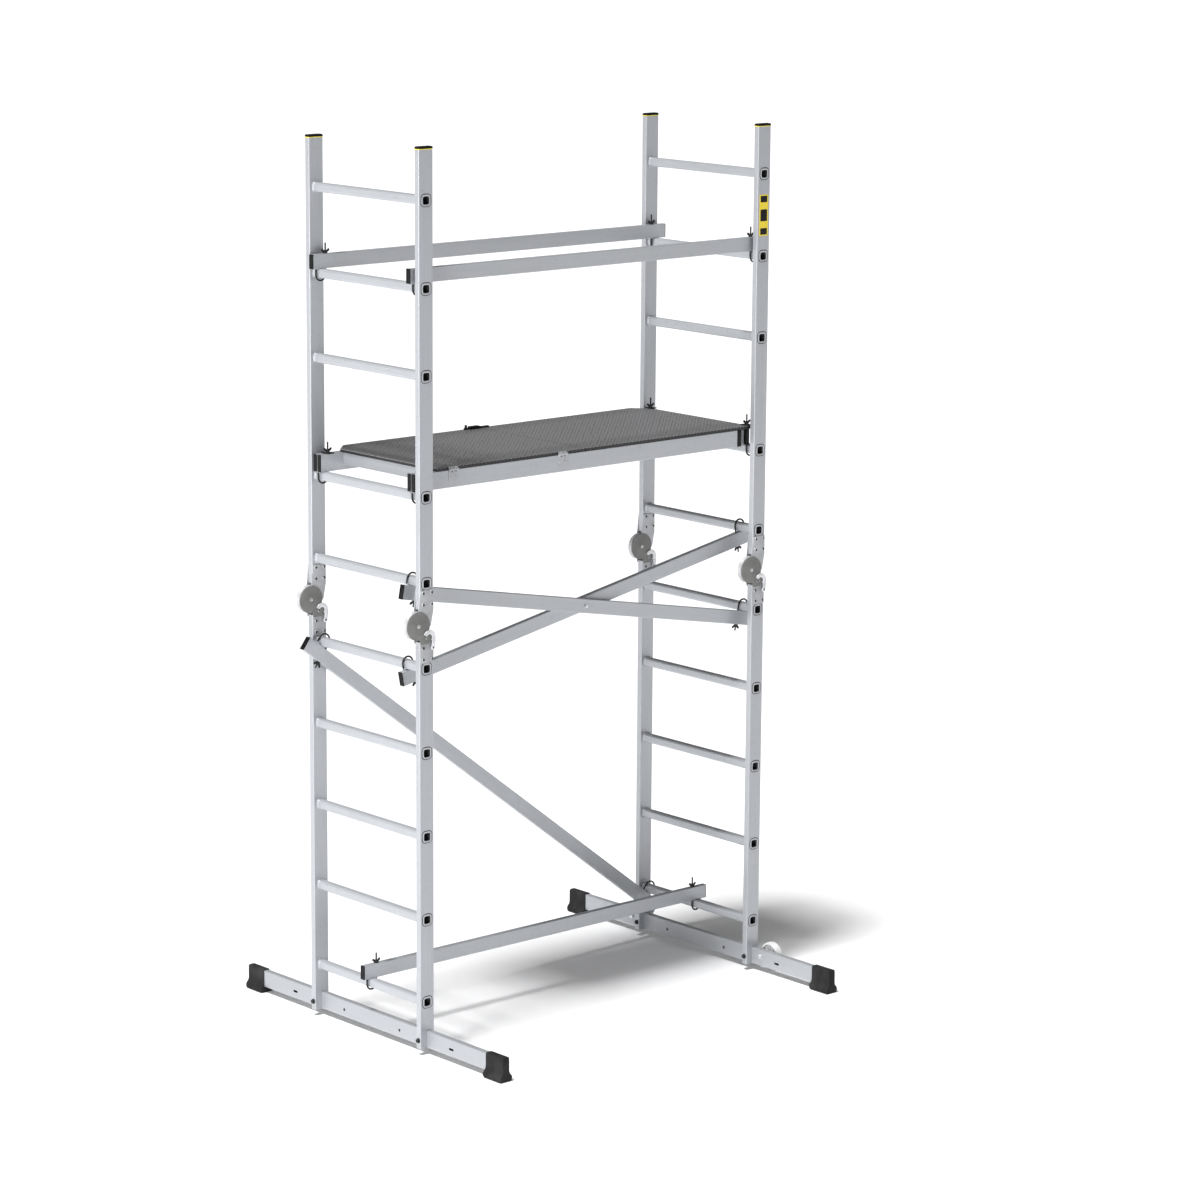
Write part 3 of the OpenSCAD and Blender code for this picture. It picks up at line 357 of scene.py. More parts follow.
def far_side(grid):
    """The same rings on the ladder's far side."""
    return grid * (1, -1, 1) + (0, ladder_width, 0)


rung_metal = bare_aluminium("rung_aluminium", (fine, long_grain, fine), tone=1.06)
# This near-black material is painted shade in hollows: inside the rungs, in the gaps round the
# flares, in the rivets' and pivots' dimples, in the locking pins' ends and in the screws' sockets.
# Noise mottles it.
painted_recess_shade, recess_shade_tree, recess_shade_shader = finish("painted_recess_shade", (0.05, 0.05, 0.055), 0.8, 0.2)
recess_shade_mottle = place_group(recess_shade_tree, marks, object_place(recess_shade_tree), Smudge_size=40.0)
tint(recess_shade_tree, recess_shade_shader, recess_shade_mottle.outputs["Smudges"], (0.03, 0.03, 0.033),
     (0.10, 0.10, 0.105))
rib_count, rib_depth = 5, 0.45
tread, tread_out, tread_share = rounded_square(rung_size, rung_corner)
bore, bore_out, _ = rounded_square(rung_size - 2 * rung_wall, rung_corner - rung_wall)
ribs = np.where(tread_share <= 1, 0.5 - 0.5 * np.cos(np.pi * rib_count * tread_share), 0.0)


def rung_rings():
    """A rung about its middle line, from the near stile to the far one and back inside.
    The outside stands out by a bead's round profile beside each stile."""
    swell = np.linspace(0, np.pi, 9)
    near = np.concatenate([
        np.column_stack([-flare_width + flare_width * (1 - np.cos(swell / 2)),
                         bead_rise * np.sin(swell / 2 + 0.5).clip(0, 1), 0 * swell]),
        [[0.3, 0, 0], [stile_y - 0.3, 0, 0]],
        np.column_stack([stile_y + bead_width * (0.5 - 0.5 * np.cos(swell * 0.93)),
                         bead_rise * np.sin(swell * 0.93 + 0.12) ** 0.7, 0 * swell]),
        [[stile_y + bead_width + 1, 0, 0], [stile_y + 9, 0, 1]]])
    far = near[::-1] * (-1, 1, 1) + (ladder_width, 0, 0)
    outer = np.vstack([near, far])
    run = tread[None] + tread_out[None] * (outer[:, 1, None, None]
                                           - rib_depth * outer[:, 2, None, None]
                                           * ribs[:, None])
    outside = np.stack([run[..., 0], np.broadcast_to(outer[:, 0, None], run.shape[:2]),
                        run[..., 1]], -1)
    inner = np.array([[ladder_width + flare_width - 0.4, 0.5], [ladder_width + 1.0, 0.0],
                      [-1.0, 0.0], [-flare_width + 0.4, 0.5]])
    run = bore[None] + bore_out[None] * inner[:, 1, None, None]
    inside = np.stack([run[..., 0], np.broadcast_to(inner[:, 0, None], run.shape[:2]),
                       run[..., 1]], -1)
    return outside, inside


rung_outside, rung_inside = rung_rings()
rung_lining = np.concatenate([rung_outside[-1:], rung_inside, rung_outside[:1]])
# A painted shadow where each flare meets the stile: a thin near-black ring stands for the shade in
# the gap.
lip_rise, lip_front, lip_back = bead_rise + 2.8, -0.25, 0.1
lip = rounded_square(rung_size + 2 * lip_rise, rung_corner + lip_rise)[0]
flare_shadow_ring = np.stack([np.column_stack([ring[:, 0], np.full(len(ring), depth), ring[:, 1]])
                    for ring, depth in ((tread, lip_front), (lip, lip_front), (lip, lip_back),
                                        (tread, lip_back))])
for side, shift in (("left", 0.0), ("right", ladder_step)):
    for part, heights in (("lower", lower_rungs), ("upper", upper_rungs)):
        shell = Shell()
        for height in heights:
            move = np.array([shift + stile_x / 2, 0, height])
            shell.rows(rung_outside + move, 0, caps=False)
            # The rung's long inside takes the near-black material: painted shade in the tube.
            shell.rows(rung_lining + move, [0, 0, 1, 0, 0], caps=False)
            shell.rows(flare_shadow_ring + move, 1, loop=True)
            shell.rows(far_side(flare_shadow_ring) + move, 1, loop=True)
        shell.piece(f"{side}_{part}_ribbed_rungs", [rung_metal, painted_recess_shade], "scaffold",
                    [f"{side}_{part}_rungs"], "aluminium")

# ---- Caps on the stiles ----
# A black moulded cap is pressed into each stile's top, over a thin coloured band. Its top
# is domed and its edge is round, so that it doesn't catch on hands or walls.
stile_top, band_height = 2947.0, 2.2
black_plastic, plastic_tree, plastic_shader = finish(
    "moulded_plastic", (0.012, 0.012, 0.013), 0.45, Specular_IOR_Level=0.22)
plastic_place = object_place(plastic_tree)
plastic_grain = place_group(plastic_tree, grain, plastic_place, Stretch=(1500, 1500, 1500),
                            Detail=2.0)
plastic_wear = place_group(plastic_tree, marks, plastic_place, Smudge_size=18.0, Scuff_size=160.0)
tint(plastic_tree, plastic_shader, plastic_wear.outputs["Scuffs"], (0.004, 0.004, 0.0045),
     (0.03, 0.03, 0.032), 0.5)
plastic_tree.links.new(between(plastic_tree, plastic_wear.outputs["Smudges"], 0.38, 0.58),
                       plastic_shader.inputs["Roughness"])
raise_bump(plastic_tree, plastic_shader, plastic_grain.outputs["Grain"], 0.00015, 0.5)
yellow_plastic, yellow_tree, yellow_shader = finish("band_plastic", (0.90, 0.66, 0.02), 0.42)
yellow_wear = place_group(yellow_tree, marks, object_place(yellow_tree), Smudge_size=30.0,
                          Scuff_size=200.0)
tint(yellow_tree, yellow_shader, yellow_wear.outputs["Scuffs"], (1.0, 0.80, 0.005),
     (0.72, 0.54, 0.03), 0.5)


def box_rings(width, height, radius, levels, arc=5):
    """Rings of a rectangle with round corners. Each level is how far the ring is set in, and
    its place along the third axis. A ring's corner radius shrinks with its setting in."""
    inset, place = np.array(levels, float).T
    quarter = np.arange(4)[:, None]
    angle = ((quarter + np.linspace(0, 1, arc + 1)) * np.pi / 2).ravel()
    side_x = np.repeat([1, -1, -1, 1], arc + 1)
    side_y = np.repeat([1, 1, -1, -1], arc + 1)
    bend = np.maximum(radius - inset, 0.25)[:, None]
    inset = inset[:, None]
    return np.stack([side_x * (width / 2 - inset - bend) + bend * np.cos(angle),
                     side_y * (height / 2 - inset - bend) + bend * np.sin(angle),
                     np.broadcast_to(place[:, None], (len(place), len(angle)))], -1)


dome = np.linspace(0, np.pi / 2, 7)
cap_levels = np.vstack([[[0.8, 0.0], [0.0, 0.6], [0.0, 3.2]],
                        np.column_stack([6.0 * (1 - np.cos(dome)), 3.2 + 4.8 * np.sin(dome)])[1:],
                        [[7.5, 7.4]]])
caps, bands = Shell(), Shell()
for shift in (0.0, ladder_step):
    for middle in (stile_y / 2, ladder_width - stile_y / 2):
        place = np.array([shift + stile_x / 2, middle, stile_top])
        caps.rows(box_rings(stile_x + 2, stile_y + 2, 3.5, cap_levels)
                  + place + (0, 0, band_height))
        bands.rows(box_rings(stile_x + 1.4, stile_y + 1.4, 3.2,
                             [(0.4, 0), (0, 0.4), (0, 1.9), (0.3, 2.2)]) + place)
caps.piece("domed_caps", [black_plastic], "scaffold", ["stile_caps"], "black_plastic")
bands.piece("coloured_bands", [yellow_plastic], "scaffold", ["cap_bands"], "yellow_plastic")

# ---- Label ----
# A plain yellow vinyl label with three black bars is stuck on the right ladder's near stile.
# It carries no lettering or mark. Its edges are cut square and stand just off the metal.
label_low, label_high, label_x = 2576.0, 2716.0, (8.0, 49.0)
bar_margin, bar_height, middle_bar = 4.0, 22.0, (2626.0, 2666.0)
vinyl, vinyl_tree, vinyl_shader = finish("label_vinyl", (0.9, 0.7, 0.02), 0.35, Coat_Weight=0.3)
vinyl_wear = place_group(vinyl_tree, marks, object_place(vinyl_tree), Smudge_size=22.0,
                         Scuff_size=180.0)
tint(vinyl_tree, vinyl_shader, vinyl_wear.outputs["Scuffs"], (0.88, 0.68, 0.012),
     (0.60, 0.47, 0.05), 0.4)
label, label_sides = Shell(), [(0.4, 0), (0.05, -0.06), (0, -0.16), (0.1, -0.3), (0.5, -0.32)]
bar_low, bar_high = label_low + bar_margin, label_high - bar_margin
for low, high, slot in ((label_low, label_high, 0), (bar_low, bar_low + bar_height, 1),
                        (bar_high - bar_height, bar_high, 1), (*middle_bar, 1)):
    width = label_x[1] - label_x[0] - (10 if slot else 0)
    rings = box_rings(width, high - low, 2.0, label_sides)[..., [0, 2, 1]]
    rings = rings + (ladder_step + sum(label_x) / 2, -0.3 if slot else -0.02, (low + high) / 2)
    label.rows(rings, slot)
label.piece("plain_label", [vinyl, black_plastic], "scaffold", [], "yellow_plastic")

# ---- Folding joints ----
# A drum between two steel plates lets each stile fold. The plates are riveted on with
# hollow rivets, a tubular pin is the axle, and a second pin locks the joint straight.
hinge_z, hinge_out, plate = 1422.0, 9.0, 3.0
disc_r, rear_disc_r, drum_wide = 47.0, 34.0, 16.0
rivet_x = (12.5, 47.0)
upper_rivets, lower_rivets = (1489.0, 1527.0), (1346.0, 1309.0)
hinge_shifts = [np.array([x, y, 0.0]) for x in (0.0, ladder_step)
                for y in (0.0, ladder_width - stile_y)]

bright_steel, steel_tree, steel_shader = finish("zinc_plated", (0.6, 0.6, 0.6), 0.32, 0.85)
steel_wear = place_group(steel_tree, marks, object_place(steel_tree), Smudge_size=60.0,
                         Scuff_size=300.0)
tint(steel_tree, steel_shader, steel_wear.outputs["Smudges"], (0.70, 0.705, 0.715),
     (0.50, 0.50, 0.495))
steel_tree.links.new(between(steel_tree, steel_wear.outputs["Scuffs"], 0.26, 0.5),
                     steel_shader.inputs["Roughness"])

plate_steel, plate_tree, plate_shader = finish("hinge_plate", (0.4, 0.41, 0.42), 0.5, 0.4)
plate_wear = place_group(plate_tree, marks, object_place(plate_tree), Smudge_size=35.0,
                         Scuff_size=330.0)
plate_grey = blend_colours(plate_tree, plate_wear.outputs["Smudges"], (0.47, 0.48, 0.50),
                           (0.40, 0.41, 0.42))
tint(plate_tree, plate_shader, plate_wear.outputs["Scuffs"], plate_grey, (0.28, 0.285, 0.295))
raise_bump(plate_tree, plate_shader, plate_wear.outputs["Scuffs"], 0.0002, 0.5)

disc_steel, disc_tree, disc_shader = finish("disc_steel", (0.2, 0.2, 0.195), 0.62, 0.3)
disc_place = object_place(disc_tree)
disc_grain = place_group(disc_tree, grain, disc_place, Stretch=(520, 520, 520), Detail=5.0)
disc_wear = place_group(disc_tree, marks, disc_place, Smudge_size=28.0, Scuff_size=150.0)
disc_grey = blend_colours(disc_tree, disc_wear.outputs["Smudges"], (0.27, 0.268, 0.262),
                          (0.20, 0.198, 0.192))
tint(disc_tree, disc_shader, disc_grain.outputs["Grain"], disc_grey, (0.17, 0.168, 0.164))
raise_bump(disc_tree, disc_shader, disc_grain.outputs["Grain"], 0.0004, 0.6)

cast_metal, cast_tree, cast_shader = finish("drum_casting", (0.45, 0.45, 0.45), 0.5, 0.45)
cast_grain = place_group(cast_tree, grain, object_place(cast_tree), Stretch=(700, 700, 700),
                         Detail=5.0)
tint(cast_tree, cast_shader, cast_grain.outputs["Grain"], (0.62, 0.625, 0.64),
     (0.42, 0.42, 0.43))
raise_bump(cast_tree, cast_shader, cast_grain.outputs["Grain"], 0.0004, 0.6)


def facing(rings, axis):
    """Rings whose third value runs along Z are turned so that it runs along X or Y."""
    return rings[..., {"x": [2, 0, 1], "y": [0, 2, 1], "z": [0, 1, 2]}[axis]]


def turned(profile, axis, sides=24):
    """A profile of radius and place along the axis, turned round it in equal steps."""
    radius, place = np.array(profile, float).T
    angle = np.arange(sides) * 2 * np.pi / sides
    rings = np.stack([radius[:, None] * np.cos(angle), radius[:, None] * np.sin(angle),
                      np.broadcast_to(place[:, None], (len(place), sides))], -1)
    return facing(rings, axis)


def joint_outline(corners, radius):
    """In each direction from the hinge axis, the farther of a disc's rim and the edge of a
    plate: the greatest distance at which a ray from the axis crosses one of its sides."""
    axis = np.array([-hinge_out, hinge_z])
    start = np.array(corners, float) - axis
    side = np.roll(start, -1, 0) - start
    angle = np.sort(np.concatenate([np.linspace(-np.pi, np.pi, 132, endpoint=False),
                                    np.arctan2(start[:, 1], start[:, 0])]))
    ray = np.column_stack([np.cos(angle), np.sin(angle)])
    with np.errstate(divide="ignore", invalid="ignore"):
        steep = ray[:, None, 0] * side[None, :, 1] - ray[:, None, 1] * side[None, :, 0]
        away = (start[:, 0] * side[:, 1] - start[:, 1] * side[:, 0])[None] / steep
        along = (start[None, :, 0] * ray[:, None, 1]
                 - start[None, :, 1] * ray[:, None, 0]) / steep
        crossed = (along >= -1e-6) & (along <= 1 + 1e-6) & (away > 0)
    reach = np.maximum(np.where(crossed, away, 0).max(1), radius)
    return axis + ray * reach[:, None]


def slab(outline, low, high, round_edge=0.9):
    """An outline carried along Y from low to high. Its rings are set in along the outline's
    normals by a quarter circle's profile at both faces."""
    step = np.roll(outline, -1, 0) - np.roll(outline, 1, 0)
    normal = np.column_stack([step[:, 1], -step[:, 0]]) / np.linalg.norm(step, axis=1)[:, None]
    bend = np.linspace(0, np.pi / 2, 4)
    inset = np.concatenate([1 - np.sin(bend), (1 - np.sin(bend))[::-1]]) * round_edge
    depth = np.concatenate([low + round_edge * (1 - np.cos(bend)),
                            high - round_edge * (1 - np.cos(bend))[::-1]])
    rings = outline[None] - inset[:, None, None] * normal[None]
    return np.stack([rings[..., 0], np.broadcast_to(depth[:, None], rings.shape[:2]),
                     rings[..., 1]], -1)


upper_edge = [(2, 1537.5), (-hinge_out, hinge_z), (25, hinge_z - 23), (45, hinge_z - 2),
              (55, 1471), (55, 1537.5)]
tongue = [(0, 1360), (34, 1360), (46, 1376), (46, 1382), (36, 1402), (-hinge_out, hinge_z),
          (-hinge_out, hinge_z - 40), (0, hinge_z - 48)]
upper_plates, lower_plates, drums = Shell(), Shell(), Shell()
drum_grooves = [(46.5 - 0.5 * (i % 3 == 1), 2.0 + i) for i in range(12)]
drum_profile = ([(7, 0), (45.6, 0), (46.5, 0.9)] + drum_grooves
                + [(46.5, drum_wide - 0.9), (45.6, drum_wide), (34, drum_wide),
                   (33.5, drum_wide + 0.5), (33.5, stile_y - 0.8), (32.8, stile_y),
                   (7, stile_y)])
for shift in hinge_shifts:
    upper_plates.rows(slab(joint_outline(upper_edge, disc_r - 3), -plate, 0) + shift)
    upper_plates.rows(slab(joint_outline(upper_edge, rear_disc_r - 3), stile_y,
                           stile_y + plate) + shift)
    for low in (-plate, stile_y):
        flat = facing(box_rings(53, 70.5, 2.5, [(0.9, 0), (0.2, 0.2), (0, 0.9), (0, 2.1),
                                                (0.2, 2.8), (0.9, 3.0)]), "y")
        lower_plates.rows(flat + (28.5, low, 1331.75) + shift, 0)
    lower_plates.rows(slab(joint_outline(tongue, disc_r), -2 * plate, -plate) + shift, 1)
    lower_plates.rows(slab(joint_outline(tongue, rear_disc_r), stile_y + plate,
                           stile_y + 2 * plate) + shift, 1)
    drums.rows(turned(drum_profile, "y", 72) + (-hinge_out, 0, hinge_z) + shift)
upper_plates.piece("stile_hinge_plates", [plate_steel], "scaffold", ["upper_hinge_plates"],
                   "hinge_steel")
lower_plates.piece("disc_hinge_plates", [plate_steel, disc_steel], "scaffold",
                   ["lower_hinge_plates"], "hinge_steel")
drums.piece("joint_drums", [cast_metal], "scaffold", ["hinge_drums"], "cast_aluminium")

rivet_head = [(2.6, 3.0), (5.4, 0.0), (5.4, -0.7), (5.2, -1.6), (4.7, -2.2), (4.2, -2.4),
              (4.0, -1.8), (3.2, -0.9), (0.5, -0.6)]
rivets, pins, locks, pivots = Shell(), Shell(), Shell(), Shell()
# The lever's pivot takes the place of one rivet at each joint.
for shift in hinge_shifts:
    for x in rivet_x:
        for z in upper_rivets + lower_rivets:
            if (x, z) == (rivet_x[1], lower_rivets[0]):
                continue
            # Each rivet's dimple takes the near-black painted shade.
            head = turned(rivet_head, "y", 20)
            rivets.rows(head + (x, -plate, z) + shift, [0] * 5 + [1] * 3)
            rivets.rows(head * (1, -1, 1) + (x, stile_y + plate, z) + shift,
                        [0] * 5 + [1] * 3)
    pins.rows(turned([(3, -7.5), (5.6, -7.5), (6.6, -7.0), (8.2, -6.8), (8.5, -6.0), (6, -6.0),
                      (6, 28), (8.5, 28), (8.2, 28.8), (6.6, 29), (5.6, 29.5), (3, 29.5)],
                     "y", 32) + (-hinge_out, 0, hinge_z) + shift,
              [0, 2, 2, 2, 2, 0, 2, 2, 2, 2, 0, 0], loop=True)
    # The locking pin's hollow end takes the near-black painted shade.
    locks.rows(turned([(1.0, -6.4), (2.3, -6.4), (2.5, -8.6), (3.0, -9.0), (3.6, -8.9), (4, -8.4),
                       (4, 28), (6, 28), (6, 29.3), (5.3, 30), (1, 30)], "y", 24)
               + (23.5, 0, hinge_z - 42.5) + shift, [1, 1] + [0] * 8)
    # The pivot's dimple takes the near-black painted shade.
    pivots.rows(turned([(1, 27), (3.6, 27), (4.5, 26.2), (4.5, 25), (2.5, 25), (2.5, -3), (5, -3),
                        (5, -6), (2.5, -6), (2.5, -10.6), (5, -10.6), (5, -11.6), (4.2, -12.6),
                        (3.2, -12.8), (2.6, -12.0), (0.8, -11.7)], "y", 24)
                + (rivet_x[1], 0, lower_rivets[0]) + shift, [0] * 13 + [1, 1])
# The second material in this list is the near-black painted shade for hollows.
steels_and_recess_shade = [bright_steel, painted_recess_shade, disc_steel]
rivets.piece("hollow_rivets", steels_and_recess_shade, "scaffold", ["hinge_rivets"], "bright_steel")
pins.piece("tubular_hinge_pins", steels_and_recess_shade, "scaffold", ["hinge_pins"], "bright_steel")
locks.piece("locking_pins", steels_and_recess_shade, "scaffold", ["lock_pins"], "bright_steel")
pivots.piece("lever_pivot_rivets", steels_and_recess_shade, "scaffold", ["lever_pivots"], "bright_steel")

# ---- Release levers ----
# A flat steel hook turns on each joint's side and keeps the locking pin in. It is stamped,
# so its edges are round, and a spring holds it over the pin.
lever_steel, lever_tree, lever_shader = finish("lever_steel", (0.6, 0.61, 0.62), 0.36, 0.55)
lever_wear = place_group(lever_tree, marks, object_place(lever_tree), Smudge_size=45.0,
                         Scuff_size=260.0)
tint(lever_tree, lever_shader, lever_wear.outputs["Smudges"], (0.72, 0.73, 0.75),
     (0.56, 0.565, 0.575))


def carried(path, section):
    """A section of across and sideways values for each point of a path in the XZ plane. It
    stands square to the path: its across axis is the path's normal, its sideways axis Y."""
    along = np.gradient(path, axis=0)
    along = along / np.linalg.norm(along, axis=1)[:, None]
    normal = np.column_stack([-along[:, 1], along[:, 0]])[:, None]
    flat = path[:, None] + section[..., :1] * normal
    return np.stack([flat[..., 0], np.broadcast_to(section[..., 1], flat.shape[:2]),
                     flat[..., 1]], -1)


lever_width, lever_thick, lever_face = 14.0, 4.0, -6.3
bend = np.radians(np.linspace(0, 153, 25))
lever_path = np.vstack([[[47.0, 1339.2 + k]] for k in (0, 0.5, 1.3, 2.4, 4.0, 6.5)]
                       + [[[48.4, 1349.5], [50.2, 1354.0], [51.0, 1360.0], [51.0, 1372.0]]]
                       + [np.column_stack([33 + 18 * np.cos(bend), 1381 + 18 * np.sin(bend)])])
walked = np.concatenate([[0], np.cumsum(np.linalg.norm(np.diff(lever_path, axis=0), axis=1))])
tip = np.clip(np.minimum(walked, 0.25 * (walked[-1] - walked) + 5.2) / 7.0, 0.06, 1)
half_width = lever_width / 2 * np.sqrt(1 - (1 - tip) ** 2)
band = box_rings(2.0, lever_thick, 1.0, [(0, 0)], 4)[0, :, :2]
lever_section = np.stack([np.sign(band[:, 0]) * (half_width[:, None] - 1 + np.abs(band[:, 0])
                                                 * np.minimum(1, half_width[:, None])),
                          np.broadcast_to(band[:, 1], (len(walked), len(band)))], -1)
lever_shape = carried(lever_path, lever_section) + (0, lever_face - lever_thick / 2, 0)
for side, x in (("left", 0.0), ("right", ladder_step)):
    for end, y in (("near", 0.0), ("far", ladder_width - stile_y)):
        lever = Shell()
        lever.rows(lever_shape + (x, y, 0))
        lever.piece(f"{side}_{end}_release_hook", [lever_steel], f"{side}_{end}_lever",
                    [f"{side}_{end}_lever"], "lever_steel")

# ---- Base ----
# A rectangular aluminium beam is bolted through the slotted foot of each ladder. Moulded
# rubber feet are pushed over its ends; their skirts and soles are ribbed for grip.
beam_metal = bare_aluminium("beam_aluminium", (fine, long_grain, fine), tone=0.9)
wear_finish(["left_base_beam", "right_base_beam", "platform_cross_bars"], beam_metal)
# Black plastic plugs close the stiles' feet. Where the notch for the beam shows them, their black
# also stands for the shade in the hollow tube: painted shade.
wear_finish(["stile_foot_plugs"], black_plastic)
rubber, rubber_tree, rubber_shader = finish("foot_rubber", (0.015, 0.015, 0.016), 0.75,
                                           Specular_IOR_Level=0.3)
rubber_place = object_place(rubber_tree)
rubber_wear = place_group(rubber_tree, marks, rubber_place, Smudge_size=14.0, Scuff_size=120.0)
tint(rubber_tree, rubber_shader, rubber_wear.outputs["Smudges"], (0.009, 0.009, 0.010),
     (0.034, 0.033, 0.032), 0.7)
rubber_grain = place_group(rubber_tree, grain, rubber_place, Stretch=(900, 900, 900), Detail=3.0)
raise_bump(rubber_tree, rubber_shader, rubber_grain.outputs["Grain"], 0.0003, 0.5)


def cut_corners(points, rounds=2):
    """Chaikin's rule: each side of a closed outline keeps its middle half, and the cuts
    between become new sides. Twice is enough for a moulded edge."""
    for _ in range(rounds):
        after = np.roll(points, -1, 0)
        points = np.stack([0.75 * points + 0.25 * after,
                           0.25 * points + 0.75 * after], 1).reshape(-1, 2)
    return points


beam_middle, beam_half, foot_length, floor_z = 38.0, 595.0, 88.0, -22.0
foot_half = cut_corners(np.array([
    (-14, 58), (-11, 62), (11, 62), (14, 58), (14, 30), (14, 12), (18, 4), (27, -5), (27, -14),
    (25, -19), (19, -22), (-19, -22), (-25, -19), (-27, -14), (-27, -5), (-18, 4), (-14, 12),
    (-14, 30)], float)[::-1])
foot_run = np.concatenate([[0, 0.5, 1.4], np.linspace(2.6, foot_length - 2.6, 57),
                           foot_length - np.array([1.4, 0.5, 0])])
foot_inset = np.concatenate([[2.4, 0.9, 0.25], np.zeros(57), [0.25, 0.9, 2.4]])
rib = 0.5 - 0.5 * np.cos(2 * np.pi * foot_run / 6.0)
skirt = np.clip((2.0 - foot_half[:, 1]) / 6.0, 0, 1)
shrink = foot_inset[:, None] + 1.1 * rib[:, None] * skirt[None]
toward_core = np.stack([np.sign(foot_half[:, 0]) * np.clip(np.abs(foot_half[:, 0]) / 8, 0, 1),
                        np.clip((foot_half[:, 1] - 20) / 40, -1, 1)], -1)
foot_rings = foot_half[None] - shrink[..., None] * toward_core[None]
foot_shape = np.stack([foot_rings[..., 0] + beam_middle,
                       np.broadcast_to(-foot_run[:, None], foot_rings.shape[:2]),
                       np.maximum(foot_rings[..., 1], floor_z)], -1)
feet = Shell()
for shift in (0.0, ladder_step):
    placed = foot_shape + (shift, ladder_width / 2 - beam_half, 0)
    feet.rows(placed)
    feet.rows(far_side(placed))
feet.piece("ribbed_feet", [rubber], "scaffold", ["rubber_feet"], "rubber")

black_steel, coat_tree, coat_shader = finish("black_coating", (0.02, 0.02, 0.021), 0.5, 0.1,
                                            Specular_IOR_Level=0.35)
coat_wear = place_group(coat_tree, marks, object_place(coat_tree), Smudge_size=50.0,
                        Scuff_size=280.0)
tint(coat_tree, coat_shader, coat_wear.outputs["Scuffs"], (0.012, 0.012, 0.013),
     (0.09, 0.09, 0.094), 0.6)
coat_tree.links.new(between(coat_tree, coat_wear.outputs["Smudges"], 0.42, 0.62),
                    coat_shader.inputs["Roughness"])


def hexagon(across, levels, sides=48):
    """Rings whose radius is the smaller of a hexagon's edge, flat distance over the cosine
    of the angle from the nearest flat, and the limit at each level, which cuts the corners."""
    limit, place = np.array(levels, float).T
    angle = np.arange(sides) * 2 * np.pi / sides
    edge = across / 2 / np.cos((angle + np.pi / 6) % (np.pi / 3) - np.pi / 6)
    radius = np.minimum(edge[None], limit[:, None])
    return facing(np.stack([radius * np.cos(angle), radius * np.sin(angle),
                            np.broadcast_to(place[:, None], radius.shape)], -1), "x")


bolt_heads, bolt_nuts = Shell(), Shell()
for shift in (0.0, ladder_step):
    for y in (stile_y / 2, ladder_width - stile_y / 2):
        place = (shift, y, 28.0)
        bolt_heads.rows(hexagon(12.8, [(1, -7), (6.1, -7), (6.9, -6.4), (9, -5.8), (9, -1.6),
                                       (1, -1.6)]) + place)
        bolt_heads.rows(turned([(1, -1.6), (8.3, -1.6), (8.8, -1.2), (8.8, -0.2), (8.6, 0), (4, 0),
                                (4, 52.7), (3.2, 53.5), (1, 53.5)], "x", 32) + place)
        bolt_nuts.rows(hexagon(12.8, [(1, 49), (9, 49), (9, 51.8), (6.9, 52.6), (6.1, 53), (1, 53)])
                       + place)
bolt_heads.piece("base_hex_bolts", [black_steel], "scaffold", ["base_bolts"], "black_steel")
bolt_nuts.piece("base_hex_nuts", [black_steel], "scaffold", ["base_nuts"], "black_steel")

# ---- Wheels ----
# Two nylon wheels turn on bolts behind the right beam. They are injection moulded: a rim
# and a hub joined by a thin web, which eight ribs stiffen, and two grooves round the tread.
wheel_x, wheel_y, wheel_z = 1560.5, -44.0, 34.0
nylon, nylon_tree, nylon_shader = finish("wheel_nylon", (0.7, 0.7, 0.7), 0.45)
nylon_wear = place_group(nylon_tree, marks, object_place(nylon_tree), Smudge_size=30.0,
                         Scuff_size=150.0)
tint(nylon_tree, nylon_shader, nylon_wear.outputs["Smudges"], (0.74, 0.745, 0.745),
     (0.50, 0.50, 0.49), 0.6)
half_profile = [(5.08, 13), (12.4, 13), (13, 12.4), (13, 6.3), (13.6, 4.9), (15, 4.3), (32, 4.3),
                (33.4, 4.9), (34, 6.3), (34, 12.4), (34.6, 13), (39, 13), (40.8, 12.3),
                (41.8, 10.6), (42, 8.8), (42, 5.6), (41.3, 5.2), (41.3, 4.0), (42, 3.6), (42, 0)]
wheel_profile = half_profile + [(r, -w) for r, w in half_profile[-2::-1]]
rib_box = box_rings(2.6, 21, 1.2, [(0.6, 12.5), (0.2, 12.9), (0, 13.5), (0, 33.5), (0.4, 34.2)], 3)
wheel_rings = [(turned(wheel_profile, "x", 96), True)]
for angle in np.arange(8) * np.pi / 4:
    sideways, along, radial = np.moveaxis(rib_box, -1, 0)
    wheel_rings.append((np.stack([along, radial * np.cos(angle) - sideways * np.sin(angle),
                                  radial * np.sin(angle) + sideways * np.cos(angle)], -1), False))
for end in ("near", "far"):
    wheel = Shell()
    for rings, closed in wheel_rings:
        rings = rings + (wheel_x, wheel_y, wheel_z)
        wheel.rows(rings if end == "near" else far_side(rings), loop=closed)
    wheel.piece(f"{end}_ribbed_wheel", [nylon], f"{end}_wheel", [f"{end}_wheel"], "nylon")
axles, sleeves, axle_nuts = Shell(), Shell(), Shell()
